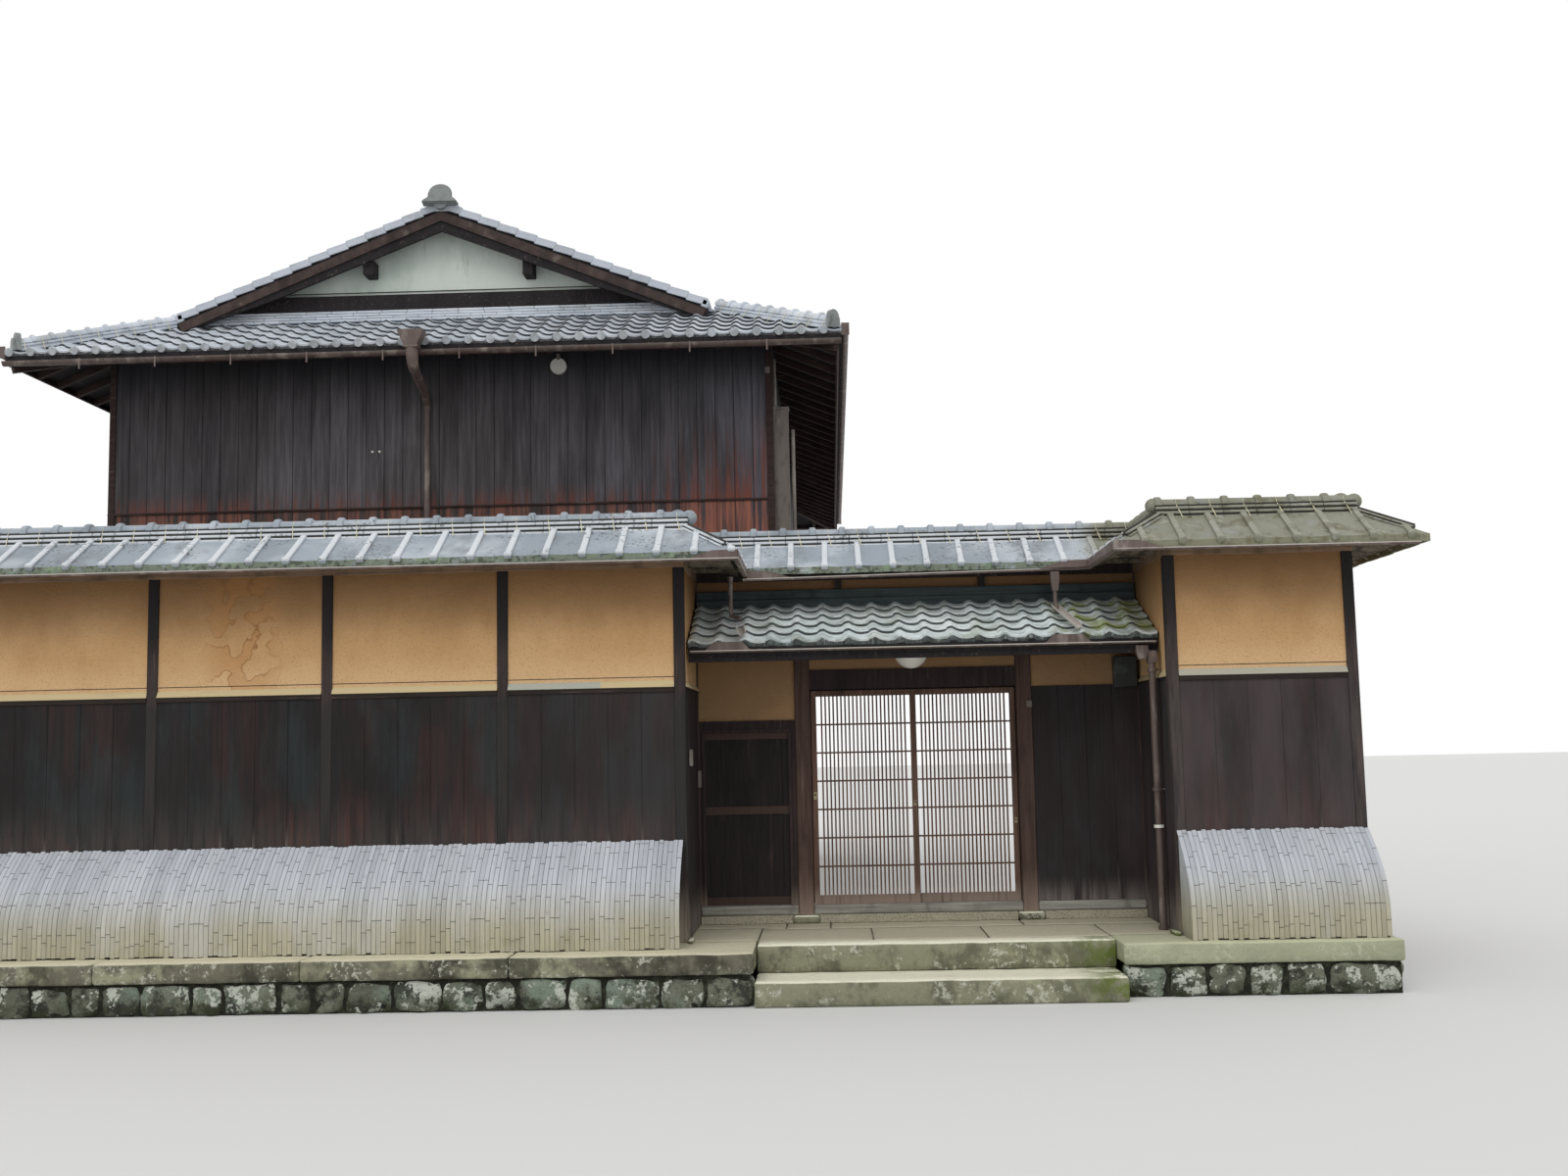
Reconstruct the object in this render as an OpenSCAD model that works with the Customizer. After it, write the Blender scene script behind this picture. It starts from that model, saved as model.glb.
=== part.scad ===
// Kyoto townhouse: a tiled street wall with a recessed lattice gate,
// and the two-storey boarded house with a hip-and-gable roof behind it.
// X runs along the street, Y into the plot, Z up from the street.
// The origin is on the ground below the middle of the gate,
// in the plane of the front faces of the street wall's posts.

/* [Street wall] */
// Spacing of the posts in the left run, three quarters of a Kyoto ken
bay_w = 1478; // [1350:1:1600]
// Number of whole bays to the left of the gate recess
left_bays = 5; // [3:1:6]
// Width of the bay to the right of the recess
right_bay_w = 1465; // [1300:1:1600]
// Length of the side wall that runs back from the right end
right_return = 2800; // [2400:10:3200]
// Width of a wall post, and the depth of the wall
post_w = 90; // [80:1:105]
// Height of the boarded dado above the kerb
dado_h = 2080; // [1900:5:2200]
// Height of the sloped drip board on top of the dado
drip_h = 65; // [50:1:80]
// Height of the plaster above the drip board
plaster_h = 945; // [850:5:1050]
// Height of the wall plate that carries the coping
plate_h = 140; // [110:1:160]
// How far the plaster lies behind the faces of the posts
plaster_inset = 18; // [10:1:24]
// How far the dado boards lie behind the faces of the posts
board_inset = 10; // [6:1:16]

/* [Stone base] */
// Height of the rough footing stones
rubble_h = 250; // [200:5:300]
// Thickness of the granite kerb slabs
kerb_h = 160; // [130:5:190]
// How far the left kerb reaches into the street
kerb_left_out = 720; // [650:5:780]
// How far the right kerb reaches into the street
kerb_right_out = 550; // [520:5:640]
// How far the kerb slabs project over the footing stones
kerb_nose = 45; // [25:1:70]
// Height of the lower step
step_low_h = 190; // [160:5:210]
// How far the lower step reaches into the street
step_low_out = 750; // [700:5:850]
// How far the upper step reaches into the street
step_up_out = 240; // [180:5:300]
// Left and right ends of the steps from the middle of the gate
step_left = 1385; // [1250:5:1500]
step_right = 1480; // [1350:5:1600]
// Side and height of a post's base stone
base_stone_w = 240; // [200:5:260]
base_stone_h = 70; // [50:5:90]

/* [Coping] */
// Reach of the coping's eaves from the middle of the wall
coping_half = 435; // [400:5:460]
// Rise of the coping for each unit of reach
coping_slope = 0.6; // [0.5:0.01:0.7]
// Thickness of the coping's eave edge
coping_t = 40; // [30:1:50]
// Height of the eaves' underside above the top of the plaster
coping_hang = 45; // [35:1:60]
// Width of the ridge's lowest course
ridge_w = 190; // [150:5:220]
// Thickness of one course of the ridge
ridge_course = 42; // [34:1:48]
// Diameter of the round ridge tiles
ridge_tile_d = 120; // [100:5:140]
// Spacing of the square ribs over the coping tiles' joints
rib_pitch = 302; // [270:1:330]
// Width and height of a rib
rib_w = 44; // [36:1:54]
rib_h = 34; // [26:1:40]

/* [Bamboo guard] */
// Height of the guard above the kerb
guard_h = 845; // [750:5:950]
// How far the guard's foot stands out from the wall
guard_out = 430; // [380:5:460]
// Thickness of the split bamboo with its battens
guard_t = 26; // [18:1:34]

/* [Gate recess] */
// Depth of the recess behind the street wall
recess_d = 1300; // [1200:5:1400]
// Distance from the middle of the gate to the recess's corner posts
recess_left = 1996; // [1900:1:2100]
recess_right = 2078; // [1950:1:2150]
// Distance between the middles of the two gate posts
gate_post_gap = 2010; // [1900:5:2100]
// Width of a gate post
gate_post_w = 140; // [120:1:160]
// Height of the stone plinth under the gate's sill
plinth_h = 75; // [60:1:90]
// Height of the timber sill
sill_h = 85; // [70:1:100]
// Height of the lattice doors
door_h = 1915; // [1800:5:1980]
// Height of the lintel over the lattice doors
lintel_h = 178; // [150:1:200]
// Height of the small side door
side_door_h = 1555; // [1450:5:1620]

/* [Lattice doors] */
// Thickness of a door
door_t = 34; // [28:1:40]
// Width of a door's stiles
stile_w = 48; // [40:1:60]
// Height of the bottom rail
bottom_rail_h = 80; // [60:1:100]
// Height of the top rail
top_rail_h = 50; // [40:1:60]
// Spacing of the upright bars
bar_pitch = 36; // [32:1:45]
// Width of an upright bar
bar_w = 15; // [10:1:18]
// Depth of an upright bar
bar_d = 18; // [14:1:22]
// Number of cross rails in the lattice
cross_rails = 6; // [4:1:7]
// Height of a cross rail
cross_rail_h = 15; // [10:1:22]
// Overlap of the two doors where they meet
door_lap = 40; // [30:1:60]
// Clear space between the doors on their tracks
track_gap = 12; // [8:1:16]
// Clearance round a moving door
door_clear = 7; // [6:1:10]

/* [Pent roof] */
// Height of the pent roof's top above the kerb
pent_top = 2830; // [2750:5:2880]
// Reach of the pent roof from the gate wall
pent_out = 950; // [850:5:1050]
// Fall of the pent roof over its reach
pent_fall = 400; // [350:5:450]
// Thickness of the pent roof
pent_t = 70; // [55:1:90]
// Number of rolls in the pent roof's tiles
pent_rolls = 18; // [15:1:21]

/* [House] */
// Width of the house over its outer walls
house_w = 7460; // [7000:10:7900]
// Depth of the house over its outer walls
house_d = 12550; // [11000:10:13000]
// Middle of the house from the middle of the gate
house_x = -5070; // [-5200:10:-5000]
// Distance of the house's front from the street wall's face
house_y = 4250; // [4100:10:4500]
// Thickness of the house's walls
house_wall_t = 150; // [120:5:180]
// Height of the roof's top surface at the eaves
eave_z = 6375; // [6200:5:6600]
// Overhang of the side eaves
eave_side = 800; // [740:10:860]
// Overhang of the front and back eaves
eave_front = 850; // [800:10:900]
// Rise of the side slopes for each unit of run
slope_side = 0.41; // [0.38:0.005:0.43]
// Rise of the front and back slopes for each unit of run
slope_front = 0.48; // [0.46:0.005:0.5]
// Upright thickness of the roof
roof_t = 70; // [60:5:90]
// Distance of the verges behind the front eave
verge_in = 950; // [900:10:1000]
// Run from the side eaves to where the gable roof begins
hip_run = 1490; // [1450:10:1520]
// Depth of a bargeboard
barge_h = 250; // [200:5:300]
// Number of rolls in the tiles of a side slope, and of the front or back slope
side_rolls = 58; // [50:1:64]
front_rolls = 38; // [33:1:42]
// Height of a tile's roll over its slope
roll_h = 30; // [22:1:34]
// Height of the stone footing under the house
footing_h = 300; // [250:10:400]

/* [Hidden] */
$fn = 48;

// Running gap between pieces that only rest by each other
seat_gap = 0.3;
// Eased edge of a stone slab
ease = 12;
// Drip board's reach past the boards, and the height of its square lip
drip_out = 22;
drip_lip = 14;

// Heights of the street wall
floor_z = rubble_h + kerb_h;
drip_z = floor_z + dado_h;
plaster_z = drip_z + drip_h;
plate_z = plaster_z + plaster_h;
plate_top = plate_z + plate_h;
soffit_z = plate_z + coping_hang;
coping_edge_z = soffit_z + coping_t;
coping_peak_z = coping_edge_z + coping_slope * coping_half;

// Places along the street and into the plot
left_end = -recess_left - left_bays * bay_w;
right_end = recess_right + right_bay_w;
wall_mid = post_w / 2;
gate_mid = recess_d + post_w / 2;
half_gate = gate_post_gap / 2;
gate_left_face = half_gate - gate_post_w / 2;
left_posts = [for (i = [0:left_bays]) -recess_left - i * bay_w];
right_posts = [recess_right, right_end];
coping_seat = 60;
guard_left_end = wall_mid - recess_left - 30;
guard_right_end = recess_right - wall_mid + 10;
// How far the gate's stones and timbers stand before or behind its wall
base_stone_out = 50;
plinth_out = 30;
sill_out = 10;
beam_in = 10;
landing_back = 60;
party_end = house_y - post_w;

// Heights at the gate
sill_z = floor_z + plinth_h;
track_z = sill_z + sill_h;
lintel_z = track_z + door_h + 2 * door_clear;
lintel_top = lintel_z + lintel_h;
gate_beam_z = floor_z + pent_top - pent_fall;
gate_beam_h = 100;
pent_z = floor_z + pent_top;
side_lintel_z = track_z + side_door_h + 2 * door_clear;
side_lintel_h = 90;

// The house
house_left = house_x - house_w / 2;
house_right = house_x + house_w / 2;
house_back = house_y + house_d;
eave_right = house_right + eave_side;
eave_left = house_left - eave_side;
eave_y = house_y - eave_front;
eave_back = house_back + eave_front;
eave_half = house_w / 2 + eave_side;
apex_z = eave_z + slope_side * eave_half;
verge_y = eave_y + verge_in;
verge_back = eave_back - verge_in;
hip_depth = hip_run * slope_side / slope_front;
join_z = eave_z + slope_side * hip_run;
// The front and back slopes stop just short of the side slopes' hips
skirt_end = hip_depth - 2;
foot_half = eave_half - hip_run;
gable_t = 80;
gable_y = eave_y + skirt_end - gable_t;
gable_back = eave_back - skirt_end + gable_t;
deep = 100;

stone_colour = [0.55, 0.54, 0.48];
rubble_colour = [0.40, 0.42, 0.38];
timber_colour = [0.22, 0.15, 0.13];
board_colour = [0.17, 0.14, 0.13];
plaster_colour = [0.76, 0.57, 0.35];
tile_colour = [0.55, 0.57, 0.57];
bamboo_colour = [0.64, 0.61, 0.56];
gutter_colour = [0.38, 0.31, 0.28];
white_colour = [0.92, 0.92, 0.90];

// Height of the house roof's top surface a run d in from the front eave
function front_top(d) = eave_z + slope_front * d;

// A box between two corners
module block(a, b) {
    translate(a) cube(b - a);
}

// A profile in Y and Z drawn out along X
module along_x(x0, x1) {
    translate([x0, 0, 0]) rotate([90, 0, 90]) linear_extrude(x1 - x0) children();
}

// A profile in X and Z drawn out along Y
module along_y(y0, y1) {
    translate([0, y1, 0]) rotate([90, 0, 0]) linear_extrude(y1 - y0) children();
}

module rubble_footing() {
    color(rubble_colour) {
        block([left_end - wall_mid, kerb_nose - kerb_left_out, 0],
            [-step_left - kerb_nose, post_w, rubble_h]);
        block([step_right + kerb_nose, kerb_nose - kerb_right_out, 0],
            [right_end + wall_mid + guard_t, post_w, rubble_h]);
        block([right_end - wall_mid, post_w, 0],
            [right_end + wall_mid, right_return, floor_z]);
    }
}

// Kerb slab with an eased top front edge
module kerb(x0, x1, out) {
    along_x(x0, x1) polygon([[-out, rubble_h], [-out, floor_z - ease],
        [ease - out, floor_z], [post_w, floor_z], [post_w, rubble_h]]);
}

module kerb_left() {
    color(stone_colour) kerb(left_end - wall_mid, -step_left, kerb_left_out);
}

module kerb_right() {
    color(stone_colour) kerb(step_right, right_end + wall_mid + 2 * guard_t, kerb_right_out);
}

module entrance_steps() {
    color(stone_colour) {
        along_x(-step_left, step_right) polygon([[-step_low_out, 0],
            [-step_low_out, step_low_h - ease], [ease - step_low_out, step_low_h],
            [wall_mid - step_up_out, step_low_h], [wall_mid - step_up_out, 0]]);
        along_x(-step_left, step_right) polygon([[-step_up_out, step_low_h],
            [-step_up_out, floor_z - ease], [ease - step_up_out, floor_z],
            [0, floor_z], [0, step_low_h]]);
    }
}

module landing() {
    color(stone_colour) {
        block([-step_left, wall_mid - step_up_out, 0], [step_right, post_w, step_low_h]);
        block([-step_left, 0, step_low_h], [step_right, post_w, floor_z]);
        block([-recess_left - wall_mid, post_w, 0],
            [recess_right + wall_mid, recess_d + gate_post_w + landing_back, floor_z]);
    }
}

module wall_posts() {
    color(timber_colour) for (x = concat(left_posts, right_posts))
        block([x - wall_mid, 0, floor_z], [x + wall_mid, post_w, plate_z]);
}

// Drip board: a sloped strip that throws rain clear of the dado
module drip_board(x0, x1) {
    along_x(x0, x1) polygon([[board_inset - drip_out, drip_z],
        [board_inset - drip_out, drip_z + drip_lip],
        [plaster_inset, plaster_z], [post_w - plaster_inset, plaster_z],
        [post_w - plaster_inset, drip_z]]);
}

module wall_rails() {
    color(timber_colour) {
        for (i = [0:left_bays - 1])
            drip_board(left_posts[i + 1] + wall_mid, left_posts[i] - wall_mid);
        drip_board(recess_right + wall_mid, right_end - wall_mid);
        block([left_end - wall_mid, 0, plate_z], [wall_mid - recess_left, post_w, plate_top]);
        block([recess_right - wall_mid, 0, plate_z], [right_end + wall_mid, post_w, plate_top]);
    }
}

module panel(x0, x1, inset, z0, z1) {
    block([x0 + wall_mid, inset, z0], [x1 - wall_mid, post_w - inset, z1]);
}

module wall_plaster() {
    color(plaster_colour) {
        for (i = [0:left_bays - 1])
            panel(left_posts[i + 1], left_posts[i], plaster_inset, plaster_z, plate_z);
        panel(recess_right, right_end, plaster_inset, plaster_z, plate_z);
    }
}

module wall_boards() {
    color(board_colour) {
        for (i = [0:left_bays - 1])
            panel(left_posts[i + 1], left_posts[i], board_inset, floor_z, drip_z);
        panel(recess_right, right_end, board_inset, floor_z, drip_z);
    }
}

// Outline of the curved guard, from its top against the wall to its upright foot
guard_steps = 9;
guard_rise = 0.25 * guard_h;
function bend(t, a, b, c, d) = (1 - t)^3 * a + 3 * (1 - t)^2 * t * b + 3 * (1 - t) * t^2 * c + t^3 * d;
function guard_point(t, grow) = [
    bend(t, 0, -0.45 * guard_out, -guard_out, -guard_out) + grow,
    floor_z + bend(t, guard_h, 0.80 * guard_h, 0.58 * guard_h, guard_rise) - grow * (1 - t)];

module guard(x0, x1) {
    outer = [for (i = [0:guard_steps]) guard_point(i / guard_steps, 0)];
    inner = [for (i = [guard_steps:-1:0]) guard_point(i / guard_steps, guard_t)];
    along_x(x0, x1) polygon(concat(outer, [[-guard_out, floor_z], [guard_t - guard_out, floor_z]],
        [for (p = inner) [min(p[0], 0), p[1]]]));
}

// Boards that close the end of a guard
module guard_end(x0, x1) {
    outline = [for (i = [guard_steps:-1:0]) guard_point(i / guard_steps, guard_t)];
    along_x(x0, x1) polygon(concat([[guard_t - guard_out, floor_z]],
        [for (p = outline) [min(p[0], 0), p[1]]], [[0, floor_z]]));
}

module bamboo_guard_left() {
    color(bamboo_colour) {
        guard(left_end - wall_mid, guard_left_end);
        guard_end(left_end - wall_mid, left_end - wall_mid + guard_t);
    }
}

module bamboo_guard_right() {
    color(bamboo_colour) {
        guard(guard_right_end, right_end + wall_mid);
        guard_end(guard_right_end, guard_right_end + guard_t);
        guard_end(right_end + wall_mid - guard_t, right_end + wall_mid);
    }
}

// Plates on top of the walls, which the copings sit on
module plate_lines() {
    side = recess_right + wall_mid;
    back = recess_d + gate_post_w;
    block([left_end - wall_mid, 0, plate_z], [wall_mid - recess_left, post_w, plate_top]);
    block([-recess_left - wall_mid, 0, plate_z], [wall_mid - recess_left, back, plate_top]);
    block([-recess_left - wall_mid, recess_d, plate_z], [side, back, plate_top]);
    block([recess_right - wall_mid, 0, plate_z], [side, back, plate_top]);
    block([recess_right - wall_mid, 0, plate_z], [right_end + wall_mid, post_w, plate_top]);
    block([right_end - wall_mid, 0, plate_z], [right_end + wall_mid, right_return, plate_top]);
    block([left_end - wall_mid, 0, plate_z], [left_end + wall_mid, house_y, plate_top]);
}

// Section of a coping about the middle of its wall
module coping_section() {
    polygon([[-coping_half, soffit_z], [-coping_half, coping_edge_z], [0, coping_peak_z],
        [coping_half, coping_edge_z], [coping_half, soffit_z],
        [coping_seat, plate_top], [-coping_seat, plate_top]]);
}

// Elevation of a run from a to b, with a hipped end beyond each end that is named
module coping_length(a, b, hip_a, hip_b) {
    lean = coping_peak_z - coping_edge_z;
    polygon([[a - (hip_a ? coping_half : 0), soffit_z],
        [a - (hip_a ? coping_half : 0), hip_a ? coping_edge_z : coping_peak_z],
        [a, coping_edge_z + lean], [b, coping_edge_z + lean],
        [b + (hip_b ? coping_half : 0), hip_b ? coping_edge_z : coping_peak_z],
        [b + (hip_b ? coping_half : 0), soffit_z]]);
}

module coping_x(a, b, y, hip_a, hip_b) {
    intersection() {
        along_x(a - coping_half, b + coping_half) translate([y, 0]) coping_section();
        along_y(y - coping_half, y + coping_half) coping_length(a, b, hip_a, hip_b);
    }
}

module coping_y(x, a, b, hip_a, hip_b) {
    intersection() {
        along_y(a - coping_half, b + coping_half) translate([x, 0]) coping_section();
        along_x(x - coping_half, x + coping_half) coping_length(a, b, hip_a, hip_b);
    }
}

// Square ribs over the joints between a coping's tiles, on the side to the right of the way
// from a to b when side is 1. They start and stop clear of the corners and of the ridge.
rib_foot = 8;
rib_stop = ridge_w / 2 + 10;
corner_near = 60;
corner_far = coping_half + 60;
module coping_ribs(a, b, side, clear_a, clear_b) {
    length = norm(b - a);
    first = side > 0 ? clear_a : clear_b;
    last = length - (side > 0 ? clear_b : clear_a);
    stop_z = coping_peak_z - coping_slope * rib_stop;
    translate(concat(side > 0 ? a : b, 0))
        rotate([0, 0, atan2(b[1] - a[1], b[0] - a[0]) + (side > 0 ? 0 : 180)])
            for (i = [0:ceil((length + coping_half) / rib_pitch)]) {
                x = (i - 0.5) * rib_pitch - coping_half - rib_w / 2;
                if (x >= first && x + rib_w <= last)
                    along_x(x, x + rib_w) polygon([[-coping_half, coping_edge_z - rib_foot],
                        [-coping_half, coping_edge_z + rib_h], [-rib_stop, stop_z + rib_h],
                        [-rib_stop, stop_z - rib_foot]]);
            }
}

left_street_run = [[left_end, wall_mid], [-recess_left, wall_mid]];
left_recess_run = [[-recess_left, wall_mid], [-recess_left, gate_mid]];
left_party_run = [[left_end, party_end], [left_end, wall_mid]];
gate_run = [[-recess_left, gate_mid], [recess_right, gate_mid]];
right_recess_run = [[recess_right, gate_mid], [recess_right, wall_mid]];
right_street_run = [[recess_right, wall_mid], [right_end, wall_mid]];
right_side_run = [[right_end, wall_mid], [right_end, right_return]];

// Ribs on both sides of a run, where turn_a and turn_b say whether it turns left, or ends plain
module run_ribs(run, turn_a, turn_b) {
    for (side = [1, -1])
        coping_ribs(run[0], run[1], side, turn_a == 0 ? 0 : turn_a * side > 0 ? corner_near : corner_far,
            turn_b == 0 ? 0 : turn_b * side > 0 ? corner_near : corner_far);
}

module coping_left_form() {
    difference() {
        union() {
            coping_x(left_end, -recess_left, wall_mid, true, true);
            coping_y(-recess_left, wall_mid, gate_mid, true, true);
            coping_y(left_end, wall_mid, party_end, true, false);
        }
        plate_lines();
    }
}

module coping_right_form() {
    difference() {
        union() {
            coping_x(recess_right, right_end, wall_mid, true, true);
            coping_y(recess_right, wall_mid, gate_mid, true, true);
            coping_y(right_end, wall_mid, right_return, true, false);
        }
        plate_lines();
    }
}

module coping_gate_form() {
    difference() {
        coping_x(-recess_left, recess_right, gate_mid, true, true);
        coping_y(-recess_left, wall_mid, gate_mid, true, true);
        coping_y(recess_right, wall_mid, gate_mid, true, true);
        plate_lines();
    }
}

module coping_left() {
    color(tile_colour) {
        coping_left_form();
        run_ribs(left_party_run, 0, 1);
        run_ribs(left_street_run, 1, 1);
        run_ribs(left_recess_run, 1, -1);
    }
}

module coping_right() {
    color(tile_colour) {
        coping_right_form();
        run_ribs(right_recess_run, -1, 1);
        run_ribs(right_street_run, 1, 1);
        run_ribs(right_side_run, 1, 0);
    }
}

module coping_gate() {
    color(tile_colour) {
        coping_gate_form();
        for (side = [1, -1]) coping_ribs(gate_run[0], gate_run[1], side, corner_far, corner_far);
    }
}

// Ridge: courses of flat tiles stepping in, with a round tile on top
module ridge_section(width, courses, course, cap) {
    step_in = (width - cap) / (2 * courses);
    for (i = [0:courses - 1])
        translate([i * step_in - width / 2, i * course]) square([width - 2 * i * step_in, course]);
    translate([0, courses * course]) intersection() {
        circle(d = cap);
        translate([-cap / 2, 0]) square([cap, cap / 2]);
    }
}

ridge_seat_z = coping_peak_z - 0.5 * coping_slope * ridge_w;

module wall_ridge_x(a, b, y) {
    along_x(a, b) translate([y, ridge_seat_z]) ridge_section(ridge_w, 3, ridge_course, ridge_tile_d);
}

module wall_ridge_y(x, a, b) {
    along_y(a, b) translate([x, ridge_seat_z]) ridge_section(ridge_w, 3, ridge_course, ridge_tile_d);
}

// A round-topped bar that slopes between two points
module sloped_bar(a, b, width, height) {
    run = b - a;
    flat = norm([run[0], run[1]]);
    translate(a) rotate([0, -atan2(run[2], flat), atan2(run[1], run[0])]) rotate([90, 0, 90])
        linear_extrude(norm(run)) {
            translate([-width / 2, -height]) square([width, 2 * height]);
            translate([0, height]) circle(d = 0.8 * width);
        }
}

// Hip tiles from the ridge's end at [x, y] to the corner of the eaves
wall_hip_w = 100;
wall_hip_h = 30;
wall_hip_end = 30;
module wall_hip(x, y, sx, sy) {
    reach = coping_half - wall_hip_end;
    sloped_bar([x, y, coping_peak_z], [x + sx * reach, y + sy * reach,
        coping_peak_z - coping_slope * reach], wall_hip_w, wall_hip_h);
}

module coping_ridges() {
    over = ridge_w / 2;
    color(tile_colour) difference() {
        union() {
            wall_ridge_x(left_end - over, over - recess_left, wall_mid);
            wall_ridge_y(-recess_left, wall_mid, gate_mid);
            wall_ridge_y(left_end, wall_mid, party_end);
            wall_ridge_x(recess_right - over, right_end + over, wall_mid);
            wall_ridge_y(recess_right, wall_mid, gate_mid);
            wall_ridge_y(right_end, wall_mid, right_return);
            wall_ridge_x(-recess_left - over, recess_right + over, gate_mid);
            wall_hip(left_end, wall_mid, -1, -1);
            wall_hip(-recess_left, wall_mid, 1, -1);
            wall_hip(-recess_left, gate_mid, -1, 1);
            wall_hip(recess_right, wall_mid, -1, -1);
            wall_hip(recess_right, gate_mid, 1, 1);
            wall_hip(right_end, wall_mid, 1, -1);
        }
        coping_left_form();
        coping_right_form();
        coping_gate_form();
    }
}

// Walls that run back from the street to the gate, with a face on both sides
module recess_wall(x) {
    y0 = post_w;
    y1 = recess_d;
    color(board_colour)
        block([x - wall_mid + board_inset, y0, floor_z], [x + wall_mid - board_inset, y1, drip_z]);
    color(timber_colour)
        block([x - wall_mid, y0, drip_z], [x + wall_mid, y1, plaster_z]);
    color(plaster_colour)
        block([x - wall_mid + plaster_inset, y0, plaster_z], [x + wall_mid - plaster_inset, y1, plate_z]);
    color(timber_colour)
        block([x - wall_mid, y0, plate_z], [x + wall_mid, y1, plate_top]);
}

module recess_walls() {
    recess_wall(-recess_left);
    recess_wall(recess_right);
}

module gate_posts() {
    color(timber_colour) for (s = [-1, 1]) {
        block([s * half_gate - gate_post_w / 2, recess_d, floor_z + base_stone_h],
            [s * half_gate + gate_post_w / 2, recess_d + gate_post_w, plate_z]);
        x = s < 0 ? -recess_left : recess_right;
        block([x - wall_mid, recess_d, floor_z], [x + wall_mid, recess_d + post_w, plate_z]);
    }
    color(stone_colour) for (s = [-1, 1])
        block([s * half_gate - base_stone_w / 2, recess_d - base_stone_out, floor_z],
            [s * half_gate + base_stone_w / 2, recess_d + gate_post_w, floor_z + base_stone_h]);
}

post_left_x = -recess_left + wall_mid;
post_right_x = recess_right - wall_mid;
gate_out = half_gate + gate_post_w / 2;

module gate_beams() {
    color(timber_colour) {
        block([-gate_left_face, recess_d + beam_in, lintel_z],
            [gate_left_face, recess_d + gate_post_w - beam_in, lintel_top]);
        block([post_left_x, recess_d + beam_in, side_lintel_z],
            [-gate_out, recess_d + post_w, side_lintel_z + side_lintel_h]);
        for (span = [[post_left_x, -gate_out], [-gate_left_face, gate_left_face],
                [gate_out, post_right_x]])
            block([span[0], recess_d + beam_in, gate_beam_z],
                [span[1], recess_d + post_w, gate_beam_z + gate_beam_h]);
        block([-recess_left - wall_mid, recess_d, plate_z],
            [recess_right + wall_mid, recess_d + gate_post_w, plate_top]);
    }
}

module gate_infill(x0, x1, z0, z1) {
    block([x0, recess_d + plaster_inset + beam_in, z0], [x1, recess_d + post_w - beam_in, z1]);
}

module gate_plaster() {
    color(plaster_colour) {
        gate_infill(post_left_x, -gate_out, side_lintel_z + side_lintel_h, gate_beam_z);
        gate_infill(-gate_left_face, gate_left_face, lintel_top, gate_beam_z);
        gate_infill(gate_out, post_right_x, drip_z, gate_beam_z);
        for (span = [[post_left_x, -gate_out], [-gate_left_face, gate_left_face],
                [gate_out, post_right_x]])
            gate_infill(span[0], span[1], gate_beam_z + gate_beam_h, plate_z);
    }
}

module gate_boards() {
    color(board_colour) block([gate_out, recess_d + board_inset + beam_in, track_z],
        [post_right_x, recess_d + post_w - beam_in, drip_z]);
}

// Stone plinth and timber sill, with a raised rail for each door
module gate_sill() {
    spans = [[post_left_x, -half_gate - base_stone_w / 2],
        [half_gate + base_stone_w / 2, post_right_x]];
    color(stone_colour) {
        for (span = spans)
            block([span[0], recess_d - plinth_out, floor_z], [span[1], recess_d + gate_post_w, sill_z]);
        block([base_stone_w / 2 - half_gate, recess_d - plinth_out, floor_z],
            [half_gate - base_stone_w / 2, recess_d + gate_post_w, sill_z]);
    }
    color(timber_colour) {
        block([post_left_x, recess_d - sill_out, sill_z], [-gate_out, recess_d + gate_post_w, track_z]);
        block([-gate_left_face, recess_d - sill_out, sill_z],
            [gate_left_face, recess_d + gate_post_w, track_z]);
        block([gate_out, recess_d - sill_out, sill_z], [post_right_x, recess_d + gate_post_w, track_z]);
    }
}

// Two doors side by side, each on its own track
door_w = gate_left_face + door_lap / 2 - door_clear;
door_z = track_z + door_clear / 20;
door_front_y = recess_d + (gate_post_w - track_gap) / 2 - door_t;
door_rear_y = recess_d + (gate_post_w + track_gap) / 2;
door_top_z = door_z + door_h;

// One sliding door: stiles, rails and a lattice of upright bars fused to cross rails
module lattice_door(x0, y0) {
    inner_w = door_w - 2 * stile_w;
    inner_h = door_h - bottom_rail_h - top_rail_h;
    bars = floor(inner_w / bar_pitch) - 1;
    first = (inner_w - (bars - 1) * bar_pitch) / 2;
    translate([x0, y0, door_z]) {
        for (x = [0, door_w - stile_w]) translate([x, 0, 0]) cube([stile_w, door_t, door_h]);
        translate([stile_w, 2, 0]) cube([inner_w, door_t - 4, bottom_rail_h]);
        translate([stile_w, 2, door_h - top_rail_h]) cube([inner_w, door_t - 4, top_rail_h]);
        for (i = [0:bars - 1])
            translate([stile_w + first + i * bar_pitch - bar_w / 2, 4, bottom_rail_h])
                cube([bar_w, bar_d, inner_h]);
        for (i = [1:cross_rails])
            translate([stile_w, 12, bottom_rail_h + i * inner_h / (cross_rails + 1) - cross_rail_h / 2])
                cube([inner_w, 16, cross_rail_h]);
    }
}

module lattice_door_left() {
    color(timber_colour) lattice_door(door_clear - gate_left_face, door_front_y);
}

module lattice_door_right() {
    color(timber_colour) lattice_door(gate_left_face - door_clear - door_w, door_rear_y);
}

jamb_w = 45;
side_left = post_left_x + jamb_w + door_clear;
side_right = -gate_out - jamb_w - door_clear;
side_door_y = recess_d + beam_in + 12;
side_door_t = 36;
side_door_z = track_z + door_clear;
knuckle_d = 10;
hinge_x = side_left - door_clear;
hinge_y = side_door_y + side_door_t + knuckle_d / 2 + seat_gap;
hinge_h = 70;
leaf_w = 40;
leaf_t = 2;

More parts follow.
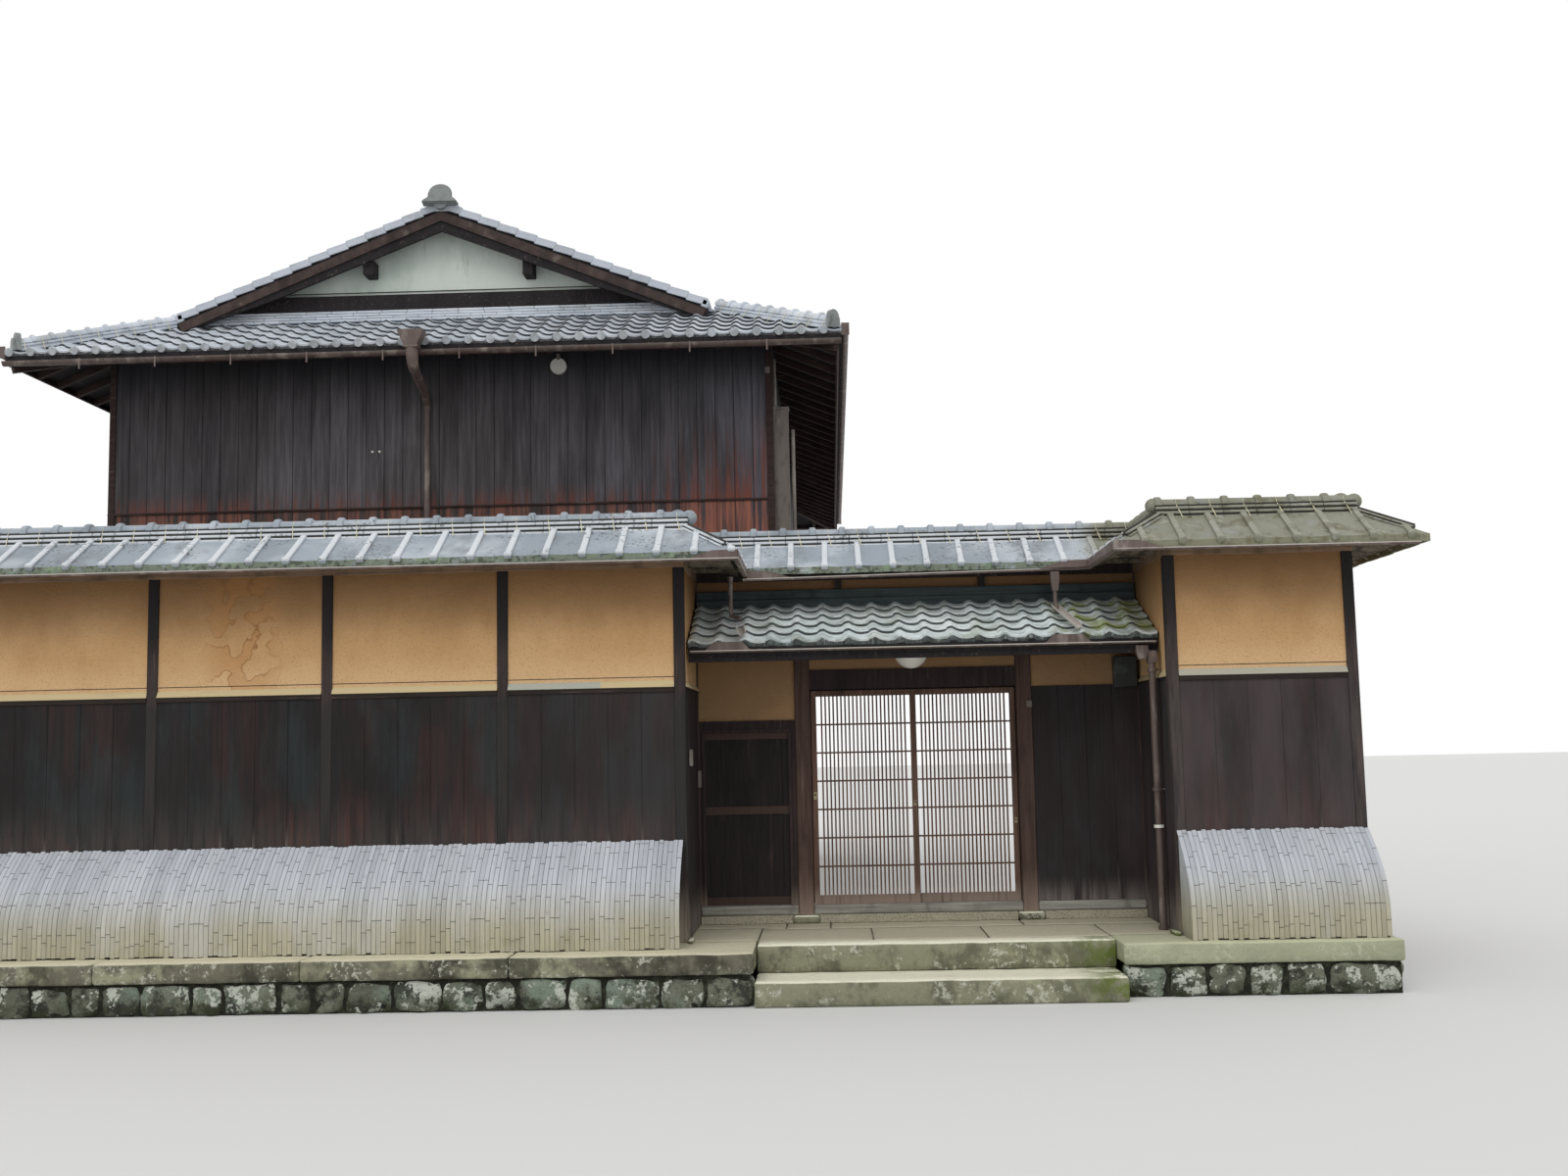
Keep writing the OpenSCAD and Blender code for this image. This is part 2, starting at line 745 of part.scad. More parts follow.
module side_door_frame() {
    color(timber_colour) for (x = [post_left_x, -gate_out - jamb_w])
        block([x, recess_d + beam_in, track_z], [x + jamb_w, side_door_y + side_door_t, side_lintel_z]);
}

// Framed door with a middle rail and board panels
module side_door() {
    rail = 70;
    mid_z = 0.52 * side_door_h;
    width = side_right - side_left;
    color(board_colour) translate([side_left, side_door_y, side_door_z]) {
        for (x = [0, width - rail]) translate([x, 0, 0]) cube([rail, side_door_t, side_door_h]);
        for (z = [0, mid_z, side_door_h - rail])
            translate([rail, 0, z]) cube([width - 2 * rail, side_door_t, rail]);
        translate([rail, 10, rail]) cube([width - 2 * rail, side_door_t - 20, mid_z - rail]);
        translate([rail, 10, mid_z + rail])
            cube([width - 2 * rail, side_door_t - 20, side_door_h - mid_z - 2 * rail]);
    }
    color(gutter_colour) for (z = [0.18, 0.82])
        translate([hinge_x, hinge_y, side_door_z + z * side_door_h]) {
            cylinder(d = knuckle_d, h = hinge_h);
            block([door_clear, side_door_y + side_door_t - hinge_y, 0],
                [leaf_w, side_door_y + side_door_t - hinge_y + leaf_t, hinge_h]);
            block([0, -knuckle_d / 2 + 1, 0], [leaf_w, -knuckle_d / 2 + 1 + leaf_t, hinge_h]);
        }
}

// Rolls of a tiled slope, side by side along X from the eave's corner, that rise with run in Y.
// Each has a spreading foot sunk a little into the slope and a narrow top.
roll_foot_w = 80;
roll_top_w = 30;
roll_at = 48;
roll_sink = 6;
pent_roll_h = 27;
module rolls(count, pitch, climb, run, height) {
    lean = atan2(climb, run);
    rotate([lean - 90, 0, 0]) translate([0, 0, -deep]) linear_extrude(norm([climb, run]) + 2 * deep)
        for (i = [0:count - 1]) translate([i * pitch + roll_at, 0])
            polygon([[-roll_foot_w / 2, roll_sink], [roll_foot_w / 2, roll_sink],
                [roll_top_w / 2, -height], [-roll_top_w / 2, -height]]);
}

// Lean-to roof over the doorway, from the gate wall down to its eave
pent_board_in = 20;
pent_board_t = 55;
pent_board_h = 50;
module pent_roof() {
    slope = pent_fall / pent_out;
    wall_y = recess_d;
    eave = wall_y - pent_out;
    low_z = pent_z - pent_fall - pent_t;
    board_a = eave + pent_board_in;
    board_b = board_a + pent_board_t;
    pitch = (post_right_x - post_left_x) / pent_rolls;
    color(tile_colour) {
        along_x(post_left_x, post_right_x) polygon([
            [wall_y, pent_z], [wall_y, pent_z - pent_t], [eave, pent_z - pent_fall - pent_t],
            [eave, pent_z - pent_fall]]);
        intersection() {
            translate([post_left_x, eave, pent_z - pent_fall])
                rolls(pent_rolls, pitch, pent_out * slope, pent_out, pent_roll_h);
            block([post_left_x, eave, 0], [post_right_x, wall_y - fascia_t - seat_gap, pent_z + deep]);
        }
    }
    color(timber_colour) along_x(post_left_x, post_right_x) polygon([
        [board_a, low_z + pent_board_in * slope],
        [board_a, low_z - pent_board_h],
        [board_b, low_z - pent_board_h],
        [board_b, low_z + (pent_board_in + pent_board_t) * slope]]);
}

// Board over the pent roof's top edge, and the two short posts that stand on it
fascia_h = 140;
fascia_t = 22;
stud_x = 655;
stud_w = 60;
stud_t = 18;
module pent_fascia() {
    color(timber_colour) {
        block([post_left_x, recess_d - fascia_t, pent_z], [post_right_x, recess_d, pent_z + fascia_h]);
        for (s = [-1, 1]) block([s * stud_x - stud_w / 2, recess_d - stud_t, pent_z + fascia_h],
            [s * stud_x + stud_w / 2, recess_d, plate_z]);
    }
}

// Half-round gutter of a given width, a thin channel drawn out along an eave.
// The eave's edge lies a little inside the channel's inner rim,
// and flat hooks fixed to that edge carry the channel.
gutter_t = 3;
gutter_lap = 20;
hook_w = 25;
hook_gap = 900;
module gutter_section(d) {
    difference() {
        circle(d = d);
        circle(d = d - 2 * gutter_t);
        translate([-d, 0]) square([2 * d, d]);
    }
}

// Gutter in front of an eave edge at y, which faces side s, with its rim at height z
module gutter_x(x0, x1, y, s, z, d) {
    count = ceil((x1 - x0) / hook_gap);
    along_x(x0, x1) translate([y + s * (d / 2 - gutter_lap), z]) gutter_section(d);
    for (i = [0:count - 1]) hook_x(x0 + (i + 0.5) * (x1 - x0) / count, y, s, z, d);
}

module hook_x(x, y, s, z, d) {
    depth = sqrt((d / 2 - gutter_t)^2 - (d / 2 - gutter_lap)^2);
    y1 = y + s * 4;
    block([x - hook_w / 2, min(y, y1), z - depth - 1], [x + hook_w / 2, max(y, y1), z + 25]);
}

module gutter_y(x, y0, y1, s, z, d) {
    translate([x, 0, 0]) rotate([0, 0, 90]) gutter_x(y0, y1, 0, -s, z, d);
}

street_gutter_d = 80;
house_gutter_d = 100;
street_gutter_z = soffit_z - seat_gap;
pent_gutter_z = pent_z - pent_fall - pent_t - seat_gap;

module street_gutters() {
    d = street_gutter_d;
    front = wall_mid - coping_half;
    left_eave = coping_half - recess_left;
    right_eave = recess_right - coping_half;
    color(gutter_colour) {
        gutter_x(left_end - coping_half, left_eave + d / 2, front, -1, street_gutter_z, d);
        gutter_x(right_eave - d / 2, right_end + coping_half, front, -1, street_gutter_z, d);
        gutter_x(left_eave + 5, right_eave - 5, gate_mid - coping_half, -1, street_gutter_z, d);
        gutter_x(post_left_x + 2, post_right_x - 2, recess_d - pent_out, -1, pent_gutter_z, d);
    }
}

pipe_d = 60;
hopper_w = 76;
hopper_h = 100;
module street_downpipes() {
    x = post_right_x - pipe_d;
    y = recess_d - pent_out - street_gutter_d / 2 + gutter_lap;
    top = pent_gutter_z - street_gutter_d / 2;
    color(gutter_colour) {
        translate([x, y, floor_z]) cylinder(d = pipe_d, h = top - hopper_h - floor_z);
        block([x - hopper_w / 2, y - hopper_w / 2, top - hopper_h], [x + hopper_w / 2, y + hopper_w / 2, top]);
    }
}

lamp_x = -30;
lamp_y = 850;
lamp_r = 150;
lamp_neck = 30;
lamp_cap_d = 70;
function pent_soffit(y) = pent_z - pent_t - pent_fall * (recess_d - y) / pent_out;

module gate_lamp() {
    base_z = pent_soffit(lamp_y);
    color(white_colour) translate([lamp_x, lamp_y, base_z - lamp_neck - lamp_r]) sphere(r = lamp_r);
    color(gutter_colour) translate([lamp_x, lamp_y, base_z - 1.5 * lamp_neck])
        cylinder(d = lamp_cap_d, h = 1.5 * lamp_neck - lamp_cap_d * pent_fall / pent_out / 2);
}

// Plain wall to the neighbour, from the street wall back to the house
module party_wall_left() {
    color(plaster_colour) {
        block([left_end - wall_mid, post_w, 0], [left_end + wall_mid, house_y, plate_top]);
        block([left_end + wall_mid, party_end, 0], [house_left + post_w, house_y, plate_z]);
    }
}

module side_wall_right() {
    y0 = post_w;
    y1 = right_return;
    color(board_colour) block([right_end - wall_mid + board_inset, y0, floor_z],
        [right_end + wall_mid - board_inset, y1 - post_w, drip_z]);
    color(plaster_colour) block([right_end - wall_mid + plaster_inset, y0, drip_z],
        [right_end + wall_mid - plaster_inset, y1 - post_w, plate_z]);
    color(timber_colour) {
        block([right_end - wall_mid, y0, plate_z], [right_end + wall_mid, y1, plate_top]);
        block([right_end - wall_mid, y1 - post_w, floor_z], [right_end + wall_mid, y1, plate_z]);
    }
}

module house_footing() {
    color(stone_colour) difference() {
        block([house_left, house_y, 0], [house_right, house_back, footing_h]);
        block([house_left + house_wall_t, house_y + house_wall_t, -deep],
            [house_right - house_wall_t, house_back - house_wall_t, footing_h + deep]);
    }
}

// The space under the roof's underside, which the walls fill up to
module under_roof() {
    translate([0, 0, -roof_t - seat_gap]) intersection() {
        under_sides(eave_y, eave_back);
        under_skirts();
    }
}

module house_wall(a, b) {
    color(board_colour) intersection() {
        block([a[0], a[1], footing_h], [b[0], b[1], apex_z]);
        under_roof();
    }
}

module house_wall_front() {
    house_wall([house_left, house_y], [house_right, house_y + house_wall_t]);
}

module house_wall_back() {
    house_wall([house_left, house_back - house_wall_t], [house_right, house_back]);
}

module house_wall_left() {
    house_wall([house_left, house_y + house_wall_t],
        [house_left + house_wall_t, house_back - house_wall_t]);
}

module house_wall_right() {
    house_wall([house_right - house_wall_t, house_y + house_wall_t],
        [house_right, house_back - house_wall_t]);
}

// Everything under the two side slopes' top surfaces
module under_sides(y0, y1) {
    along_y(y0, y1) polygon([[eave_left, 0], [eave_left, eave_z], [house_x, apex_z],
        [eave_right, eave_z], [eave_right, 0]]);
}

// Everything under the planes of the front and back slopes
module under_skirts() {
    run = (eave_back - eave_y) / 2;
    along_x(eave_left, eave_right) polygon([[eave_y, 0], [eave_y, eave_z],
        [eave_y + run, front_top(run)], [eave_back, eave_z], [eave_back, 0]]);
}

// Lower part of a side slope, between the hips and outside the gables' feet
module side_slope_low(s) {
    foot = house_x + s * foot_half;
    eave = house_x + s * eave_half;
    intersection() {
        along_y(eave_y, eave_back) polygon([[foot, join_z], [eave, eave_z],
            [eave, eave_z - roof_t], [foot, join_z - roof_t]]);
        linear_extrude(apex_z + deep) polygon([[foot, eave_y + hip_depth], [eave, eave_y],
            [eave, eave_back], [foot, eave_back - hip_depth]]);
    }
}

// Upper part of a side slope, from verge to verge over the front and back slopes' ends
module side_slope_high(s) {
    foot = house_x + s * foot_half;
    difference() {
        along_y(verge_y, verge_back) polygon([[house_x, apex_z], [foot, join_z],
            [foot, join_z - roof_t], [house_x, apex_z - roof_t]]);
        for (end = [[eave_y, 1], [eave_back, -1]]) {
            cut_end = end[0] + end[1] * (skirt_end + seat_gap);
            along_x(eave_left, eave_right) polygon([[end[0], 0], [end[0], eave_z + seat_gap],
                [cut_end, front_top(skirt_end + seat_gap) + seat_gap], [cut_end, 0]]);
        }
    }
}

// Rolls of a side slope's tiles, clear of the hips, the verges, the front slopes and the ridge
roll_clear = 175;
verge_clear = 30;
foot_clear = 70;
ridge_clear = 160;
module side_rolls_field(s) {
    foot = house_x + s * foot_half;
    eave = house_x + s * eave_half;
    over = foot - s * foot_clear;
    top = house_x + s * ridge_clear;
    intersection() {
        translate([eave, s > 0 ? eave_y : eave_back, eave_z]) rotate([0, 0, s * 90])
            rolls(side_rolls, (eave_back - eave_y) / side_rolls, slope_side * eave_half, eave_half, roll_h);
        linear_extrude(apex_z + deep) polygon([[eave, eave_y + roll_clear],
            [foot, eave_y + hip_depth + roll_clear], [over, eave_y + hip_depth + roll_clear],
            [over, verge_y + verge_clear], [top, verge_y + verge_clear],
            [top, verge_back - verge_clear], [over, verge_back - verge_clear],
            [over, eave_back - hip_depth - roll_clear],
            [foot, eave_back - hip_depth - roll_clear], [eave, eave_back - roll_clear]]);
    }
}

// Rolls of the front or back slope's tiles, clear of the hips, the bargeboards and the gable's foot
gable_clear = 160;
barge_clear = 50;
barge_foot = 200;
module skirt_rolls_field(y0, s) {
    run = hip_depth - gable_clear;
    outer_run = verge_in - barge_clear;
    reach = outer_run * hip_run / hip_depth;
    inner = foot_half - barge_foot;
    intersection() {
        translate([s > 0 ? eave_left : eave_right, y0, eave_z]) rotate([0, 0, s > 0 ? 0 : 180])
            rolls(front_rolls, (eave_right - eave_left) / front_rolls, slope_front * hip_depth, hip_depth, roll_h);
        linear_extrude(apex_z + deep) polygon([[eave_left + roll_clear, y0], [eave_right - roll_clear, y0],
            [eave_right - roll_clear - reach, y0 + s * outer_run], [house_x + inner, y0 + s * outer_run],
            [house_x + inner, y0 + s * run], [house_x - inner, y0 + s * run],
            [house_x - inner, y0 + s * outer_run], [eave_left + roll_clear + reach, y0 + s * outer_run]]);
    }
}

// Front or back slope from its eave at y0 up to the gable wall
module skirt_slope(y0, s) {
    top_half = eave_half - skirt_end * slope_front / slope_side;
    intersection() {
        along_x(eave_left, eave_right) polygon([[y0, eave_z],
            [y0 + s * skirt_end, front_top(skirt_end)],
            [y0 + s * skirt_end, front_top(skirt_end) - roof_t], [y0, eave_z - roof_t]]);
        linear_extrude(apex_z + deep) polygon([[eave_left + seat_gap, y0], [eave_right - seat_gap, y0],
            [house_x + top_half - seat_gap, y0 + s * skirt_end],
            [house_x - top_half + seat_gap, y0 + s * skirt_end]]);
    }
}

module roof_left() {
    color(tile_colour) {
        side_slope_low(-1);
        side_slope_high(-1);
        side_rolls_field(-1);
    }
}

module roof_right() {
    color(tile_colour) {
        side_slope_low(1);
        side_slope_high(1);
        side_rolls_field(1);
    }
}

module skirt_roof_front() {
    color(tile_colour) {
        skirt_slope(eave_y, 1);
        skirt_rolls_field(eave_y, 1);
    }
}

module skirt_roof_back() {
    color(tile_colour) {
        skirt_slope(eave_back, -1);
        skirt_rolls_field(eave_back, -1);
    }
}

// A cutting form raised by the seat's gap, for what rests on the roof
module seated() {
    translate([0, 0, seat_gap]) children();
}

// Triangle under the two slopes' undersides, down to the front slope's top
module gable_field(y0, y1) {
    foot_z = join_z - roof_t + seat_gap;
    top_z = apex_z - roof_t - seat_gap;
    half = (top_z - foot_z) / slope_side;
    difference() {
        along_y(y0, y1) polygon([[house_x - half, foot_z], [house_x + half, foot_z], [house_x, top_z]]);
        seated() under_skirts();
    }
}

module gable_walls() {
    color(white_colour) {
        gable_field(gable_y, gable_y + gable_t);
        gable_field(gable_back - gable_t, gable_back);
    }
}

// Bargeboard that follows the verge, with its foot cut upright
module bargeboard(y0, y1) {
    drop = 40;
    along_y(y0, y1) for (s = [-1, 1]) polygon([[house_x, apex_z - drop],
        [house_x + s * foot_half, join_z - drop],
        [house_x + s * foot_half, join_z - drop - barge_h * 0.5],
        [house_x + s * 0.6 * foot_half, apex_z - 0.6 * slope_side * foot_half - drop - barge_h * 0.86],
        [house_x, apex_z - drop - barge_h]]);
}

module bargeboards() {
    t = 36;
    color(timber_colour) difference() {
        union() {
            bargeboard(verge_y - t, verge_y);
            bargeboard(verge_back, verge_back + t);
        }
        seated() under_skirts();
    }
}

// End tile of a ridge: a shouldered plate with a round head
module end_tile(width, height, t) {
    rotate([90, 0, 0]) linear_extrude(t) {
        polygon([[-width / 2, 0], [width / 2, 0], [0.3 * width, 0.6 * height], [-0.3 * width, 0.6 * height]]);
        translate([0, 0.62 * height]) circle(d = 0.62 * width);
    }
}

main_ridge_w = 280;
main_ridge_course = 50;
main_ridge_tile_d = 150;
ridge_over = 60;
end_tile_w = 400;
end_tile_h = 330;
end_tile_sink = 10;
module main_ridge() {
    seat = apex_z - slope_side * main_ridge_w / 2;
    color(tile_colour) {
        difference() {
            along_y(verge_y - ridge_over, verge_back + ridge_over) translate([house_x, seat])
                ridge_section(main_ridge_w, 4, main_ridge_course, main_ridge_tile_d);
            seated() under_sides(verge_y - deep, verge_back + deep);
        }
        for (y = [verge_y - ridge_over, verge_back + 2 * ridge_over])
            translate([house_x, y, apex_z - end_tile_sink]) end_tile(end_tile_w, end_tile_h, ridge_over);
    }
}

// Ridge down one hip of the house, from the foot of the gable to the eave corner
hip_from = 0.08;
hip_to = 0.91;
hip_w = 170;
hip_h = 90;
band_out = 60;
band_h = 65;
function hip_point(sx, y0, sy, share) = [house_x + sx * (foot_half + share * hip_run),
    y0 + sy * (1 - share) * hip_depth, join_z - share * slope_side * hip_run];

module house_hip(sx, y0, sy) {
    difference() {
        sloped_bar(hip_point(sx, y0, sy, hip_from), hip_point(sx, y0, sy, hip_to), hip_w, hip_h);
        seated() intersection() {
            under_sides(eave_y, eave_back);
            under_skirts();
        }
    }
}

// Band of flat tiles that closes the foot of a gable
module gable_band(y0, y1) {
    intersection() {
        gable_field(y0, y1);
        block([eave_left, y0, 0], [eave_right, y1, join_z + band_h]);
    }
}

module hip_ridges() {
    color(tile_colour) {
        for (sx = [-1, 1]) {
            house_hip(sx, eave_y, 1);
            house_hip(sx, eave_back, -1);
        }
        gable_band(gable_y - band_out, gable_y);
        gable_band(gable_back, gable_back + band_out);
    }
}

house_gutter_z = eave_z - roof_t - seat_gap;
house_pipe_off = 130;
house_pipe_x = house_x - house_pipe_off;
house_pipe_d = 70;
pipe_foot_z = 60;
pipe_drop = 445;

// The side gutters hang higher, against the edges of the side eaves
side_gutter_d = 80;
side_gutter_up = 20;
beside = gutter_lap + seat_gap;
module house_gutters() {
    d = house_gutter_d;
    pipe_y = house_y - house_pipe_d / 2 - seat_gap;
    color(gutter_colour) {
        gutter_x(eave_left, eave_right, eave_y, -1, house_gutter_z, d);
        gutter_x(eave_left, eave_right, eave_back, 1, house_gutter_z, d);
        gutter_y(eave_right + beside, eave_y, eave_back, 1, eave_z + side_gutter_up, side_gutter_d);
        gutter_y(eave_left - beside, eave_y, eave_back, -1, eave_z + side_gutter_up, side_gutter_d);
        translate([house_pipe_x, pipe_y, pipe_foot_z])
            cylinder(d = house_pipe_d, h = eave_z - pipe_drop - pipe_foot_z);
    }
}

eave_lamp_in = 1355;
eave_lamp_x = house_x + eave_lamp_in;
eave_lamp_z = eave_z - roof_t - 5;
eave_lamp_d = 180;
eave_lamp_t = 60;
module house_lamp() {
    color(white_colour) translate([eave_lamp_x, house_y, eave_lamp_z]) rotate([90, 0, 0])
        cylinder(d = eave_lamp_d, h = eave_lamp_t);
}

duct_w = 190;
duct_d = 100;
duct_in = 60;
duct_y = house_y + duct_in;
duct_drop = 615;
duct_top = eave_z - duct_drop;
module service_duct() {
    color(gutter_colour) block([house_right, duct_y, footing_h],
        [house_right + duct_w, duct_y + duct_d, duct_top]);
}

rubble_footing();
kerb_left();
kerb_right();
entrance_steps();
landing();
wall_posts();
wall_rails();
wall_plaster();
wall_boards();
bamboo_guard_left();
bamboo_guard_right();
coping_left();
coping_right();
coping_gate();
coping_ridges();
recess_walls();
gate_posts();
gate_beams();
gate_plaster();
gate_boards();
gate_sill();
lattice_door_left();
lattice_door_right();
side_door();
side_door_frame();
pent_roof();
pent_fascia();
street_gutters();
street_downpipes();
gate_lamp();
party_wall_left();
side_wall_right();
house_footing();
house_wall_front();
house_wall_back();
house_wall_left();
house_wall_right();
gable_walls();
bargeboards();
roof_left();
roof_right();
skirt_roof_front();
skirt_roof_back();
main_ridge();
hip_ridges();
house_gutters();
house_lamp();
service_duct();
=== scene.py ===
import math
import random

import bmesh
import bpy
import numpy as np
from mathutils import Matrix, Vector, noise


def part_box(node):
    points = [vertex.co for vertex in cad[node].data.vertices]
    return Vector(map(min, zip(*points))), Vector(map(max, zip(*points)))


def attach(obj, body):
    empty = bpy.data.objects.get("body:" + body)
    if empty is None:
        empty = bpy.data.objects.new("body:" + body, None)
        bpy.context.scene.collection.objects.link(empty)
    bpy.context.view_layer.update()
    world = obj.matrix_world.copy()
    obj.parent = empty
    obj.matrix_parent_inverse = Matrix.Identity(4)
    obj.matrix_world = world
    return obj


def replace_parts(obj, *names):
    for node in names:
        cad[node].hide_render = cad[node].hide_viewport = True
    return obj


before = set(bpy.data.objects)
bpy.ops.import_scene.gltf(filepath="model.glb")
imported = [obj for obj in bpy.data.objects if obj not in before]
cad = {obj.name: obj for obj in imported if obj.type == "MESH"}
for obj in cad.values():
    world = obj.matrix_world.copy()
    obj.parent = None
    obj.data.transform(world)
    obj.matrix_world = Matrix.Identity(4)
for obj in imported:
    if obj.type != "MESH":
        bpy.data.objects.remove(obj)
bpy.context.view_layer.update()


# Daylight and viewpoint. The eye stands across the street at head height and looks a little
# up and to the left. A bright even sky lights the house, with a weak sun high in front.
eye = (-0.742, -12.993, 1.97)
turn, pitch, roll = (math.radians(angle) for angle in (1.627, 5.853, -1.191))
lens = bpy.data.cameras.new("street_view")
lens.lens = 36
lens.sensor_width = 36
lens.clip_end = 200
viewer = bpy.data.objects.new("street_view", lens)
viewer.matrix_world = (Matrix.Translation(eye) @ Matrix.Rotation(turn, 4, "Z")
                       @ Matrix.Rotation(math.radians(90) + pitch, 4, "X") @ Matrix.Rotation(roll, 4, "Z"))
bpy.context.scene.collection.objects.link(viewer)
bpy.context.scene.camera = viewer
bpy.context.scene.view_settings.view_transform = "Standard"


def add(tree, kind, inputs=None, **settings):
    """A shader node with its settings, and each input given a value or linked to a socket."""
    made = tree.nodes.new("ShaderNode" + kind)
    for name, value in settings.items():
        setattr(made, name, value)
    for key, value in (inputs or {}).items():
        if isinstance(value, bpy.types.NodeSocket):
            tree.links.new(value, made.inputs[key])
        else:
            made.inputs[key].default_value = value
    return made


def seen_rays(tree):
    """1 for what the eye sees directly, in a gloss or through glass, and 0 for what only gives light."""
    rays = add(tree, "LightPath")
    direct = add(tree, "Math", {0: rays.outputs["Is Camera Ray"], 1: rays.outputs["Is Glossy Ray"]},
                 operation="MAXIMUM")
    return add(tree, "Math", {0: direct.outputs[0], 1: rays.outputs["Is Transmission Ray"]},
               operation="MAXIMUM").outputs[0]


sky = bpy.data.worlds.new("sky")
sky.use_nodes = True
bpy.context.scene.world = sky
sky_light = 0.78
brightness = add(sky.node_tree, "MapRange", {0: seen_rays(sky.node_tree), 3: sky_light, 4: 1.0})
shine = sky.node_tree.nodes["Background"]
shine.inputs["Color"].default_value = (1, 1, 1, 1)
sky.node_tree.links.new(brightness.outputs[0], shine.inputs["Strength"])

sun = bpy.data.lights.new("sun", "SUN")
sun.energy = 0.9
sun.angle = math.radians(50)
sun_lamp = bpy.data.objects.new("sun", sun)
sun_lamp.matrix_world = Matrix.Rotation(math.radians(-12), 4, "Z") @ Matrix.Rotation(math.radians(40), 4, "X")
bpy.context.scene.collection.objects.link(sun_lamp)

floor_half = 150
ground = bmesh.new()
bmesh.ops.create_grid(ground, x_segments=1, y_segments=1, size=floor_half)
bmesh.ops.translate(ground, verts=ground.verts, vec=(0, 0, -0.002))
ground_mesh = bpy.data.meshes.new("floor")
ground.to_mesh(ground_mesh)
ground.free()
ground_paint = bpy.data.materials.new("pale_floor")
ground_paint.use_nodes = True
ground_look = ground_paint.node_tree.nodes["Principled BSDF"].inputs
ground_look["Base Color"].default_value = (0.72, 0.72, 0.71, 1)
ground_look["Roughness"].default_value = 0.9
ground_mesh.materials.append(ground_paint)
floor = bpy.data.objects.new("floor", ground_mesh)
bpy.context.scene.collection.objects.link(floor)


# Rubble footing: one row of rough field stones under the kerb, bedded in dark mortar
# and grown over with lichen, with moss where the wall meets the street.
def paint(red, green, blue):
    """A colour in steps of 0 to 255 as the linear colour that a shader takes."""
    return tuple(((step / 255 + 0.055) / 1.055) ** 2.4 for step in (red, green, blue)) + (1,)


def new_group(name, inputs, outputs):
    """An empty node group with its sockets, and the nodes that carry them."""
    group = bpy.data.node_groups.new(name, "ShaderNodeTree")
    for label, kind, value in inputs:
        group.interface.new_socket(label, in_out="INPUT",
                                   socket_type="NodeSocket" + kind).default_value = value
    for label, kind in outputs:
        group.interface.new_socket(label, in_out="OUTPUT", socket_type="NodeSocket" + kind)
    return group, group.nodes.new("NodeGroupInput").outputs, group.nodes.new("NodeGroupOutput").inputs


# Cloudy patches: a mask that is 1 where a stretched noise is above High and 0 where it is below Low
patches, given, result = new_group(
    "patches",
    [("Vector", "Vector", (0, 0, 0)), ("Stretch", "Vector", (1, 1, 1)), ("Scale", "Float", 5),
     ("Low", "Float", 0.4), ("High", "Float", 0.6), ("Roughness", "Float", 0.6)],
    [("Mask", "Float")])
stretched = add(patches, "VectorMath", {0: given["Vector"], 1: given["Stretch"]}, operation="MULTIPLY")
clouds = add(patches, "TexNoise", {"Vector": stretched.outputs[0], "Scale": given["Scale"], "Detail": 4,
                                   "Roughness": given["Roughness"]})
edge = add(patches, "MapRange", {0: clouds.outputs[0], 1: given["Low"], 2: given["High"]},
           interpolation_type="SMOOTHSTEP")
patches.links.new(edge.outputs[0], result["Mask"])

# A mask that grows from 0 to 1 along a direction, between two distances from the origin
rise, given, result = new_group(
    "rise",
    [("Vector", "Vector", (0, 0, 0)), ("Along", "Vector", (0, 0, 1)), ("From", "Float", 0),
     ("To", "Float", 1)],
    [("Mask", "Float")])
reach = add(rise, "VectorMath", {0: given["Vector"], 1: given["Along"]}, operation="DOT_PRODUCT")
ramp = add(rise, "MapRange", {0: reach.outputs["Value"], 1: given["From"], 2: given["To"]},
           interpolation_type="SMOOTHSTEP")
rise.links.new(ramp.outputs[0], result["Mask"])

# Small scattered spots, 1 inside each and 0 outside
spots, given, result = new_group(
    "spots",
    [("Vector", "Vector", (0, 0, 0)), ("Scale", "Float", 30), ("Size", "Float", 0.25)],
    [("Mask", "Float")])
cells = add(spots, "TexVoronoi", {"Vector": given["Vector"], "Scale": given["Scale"]})
soft_edge = add(spots, "Math", {0: given["Size"], 1: 0.6}, operation="MULTIPLY")
dots = add(spots, "MapRange", {0: cells.outputs["Distance"], 1: given["Size"], 2: soft_edge.outputs[0]},
           interpolation_type="SMOOTHSTEP")
spots.links.new(dots.outputs[0], result["Mask"])


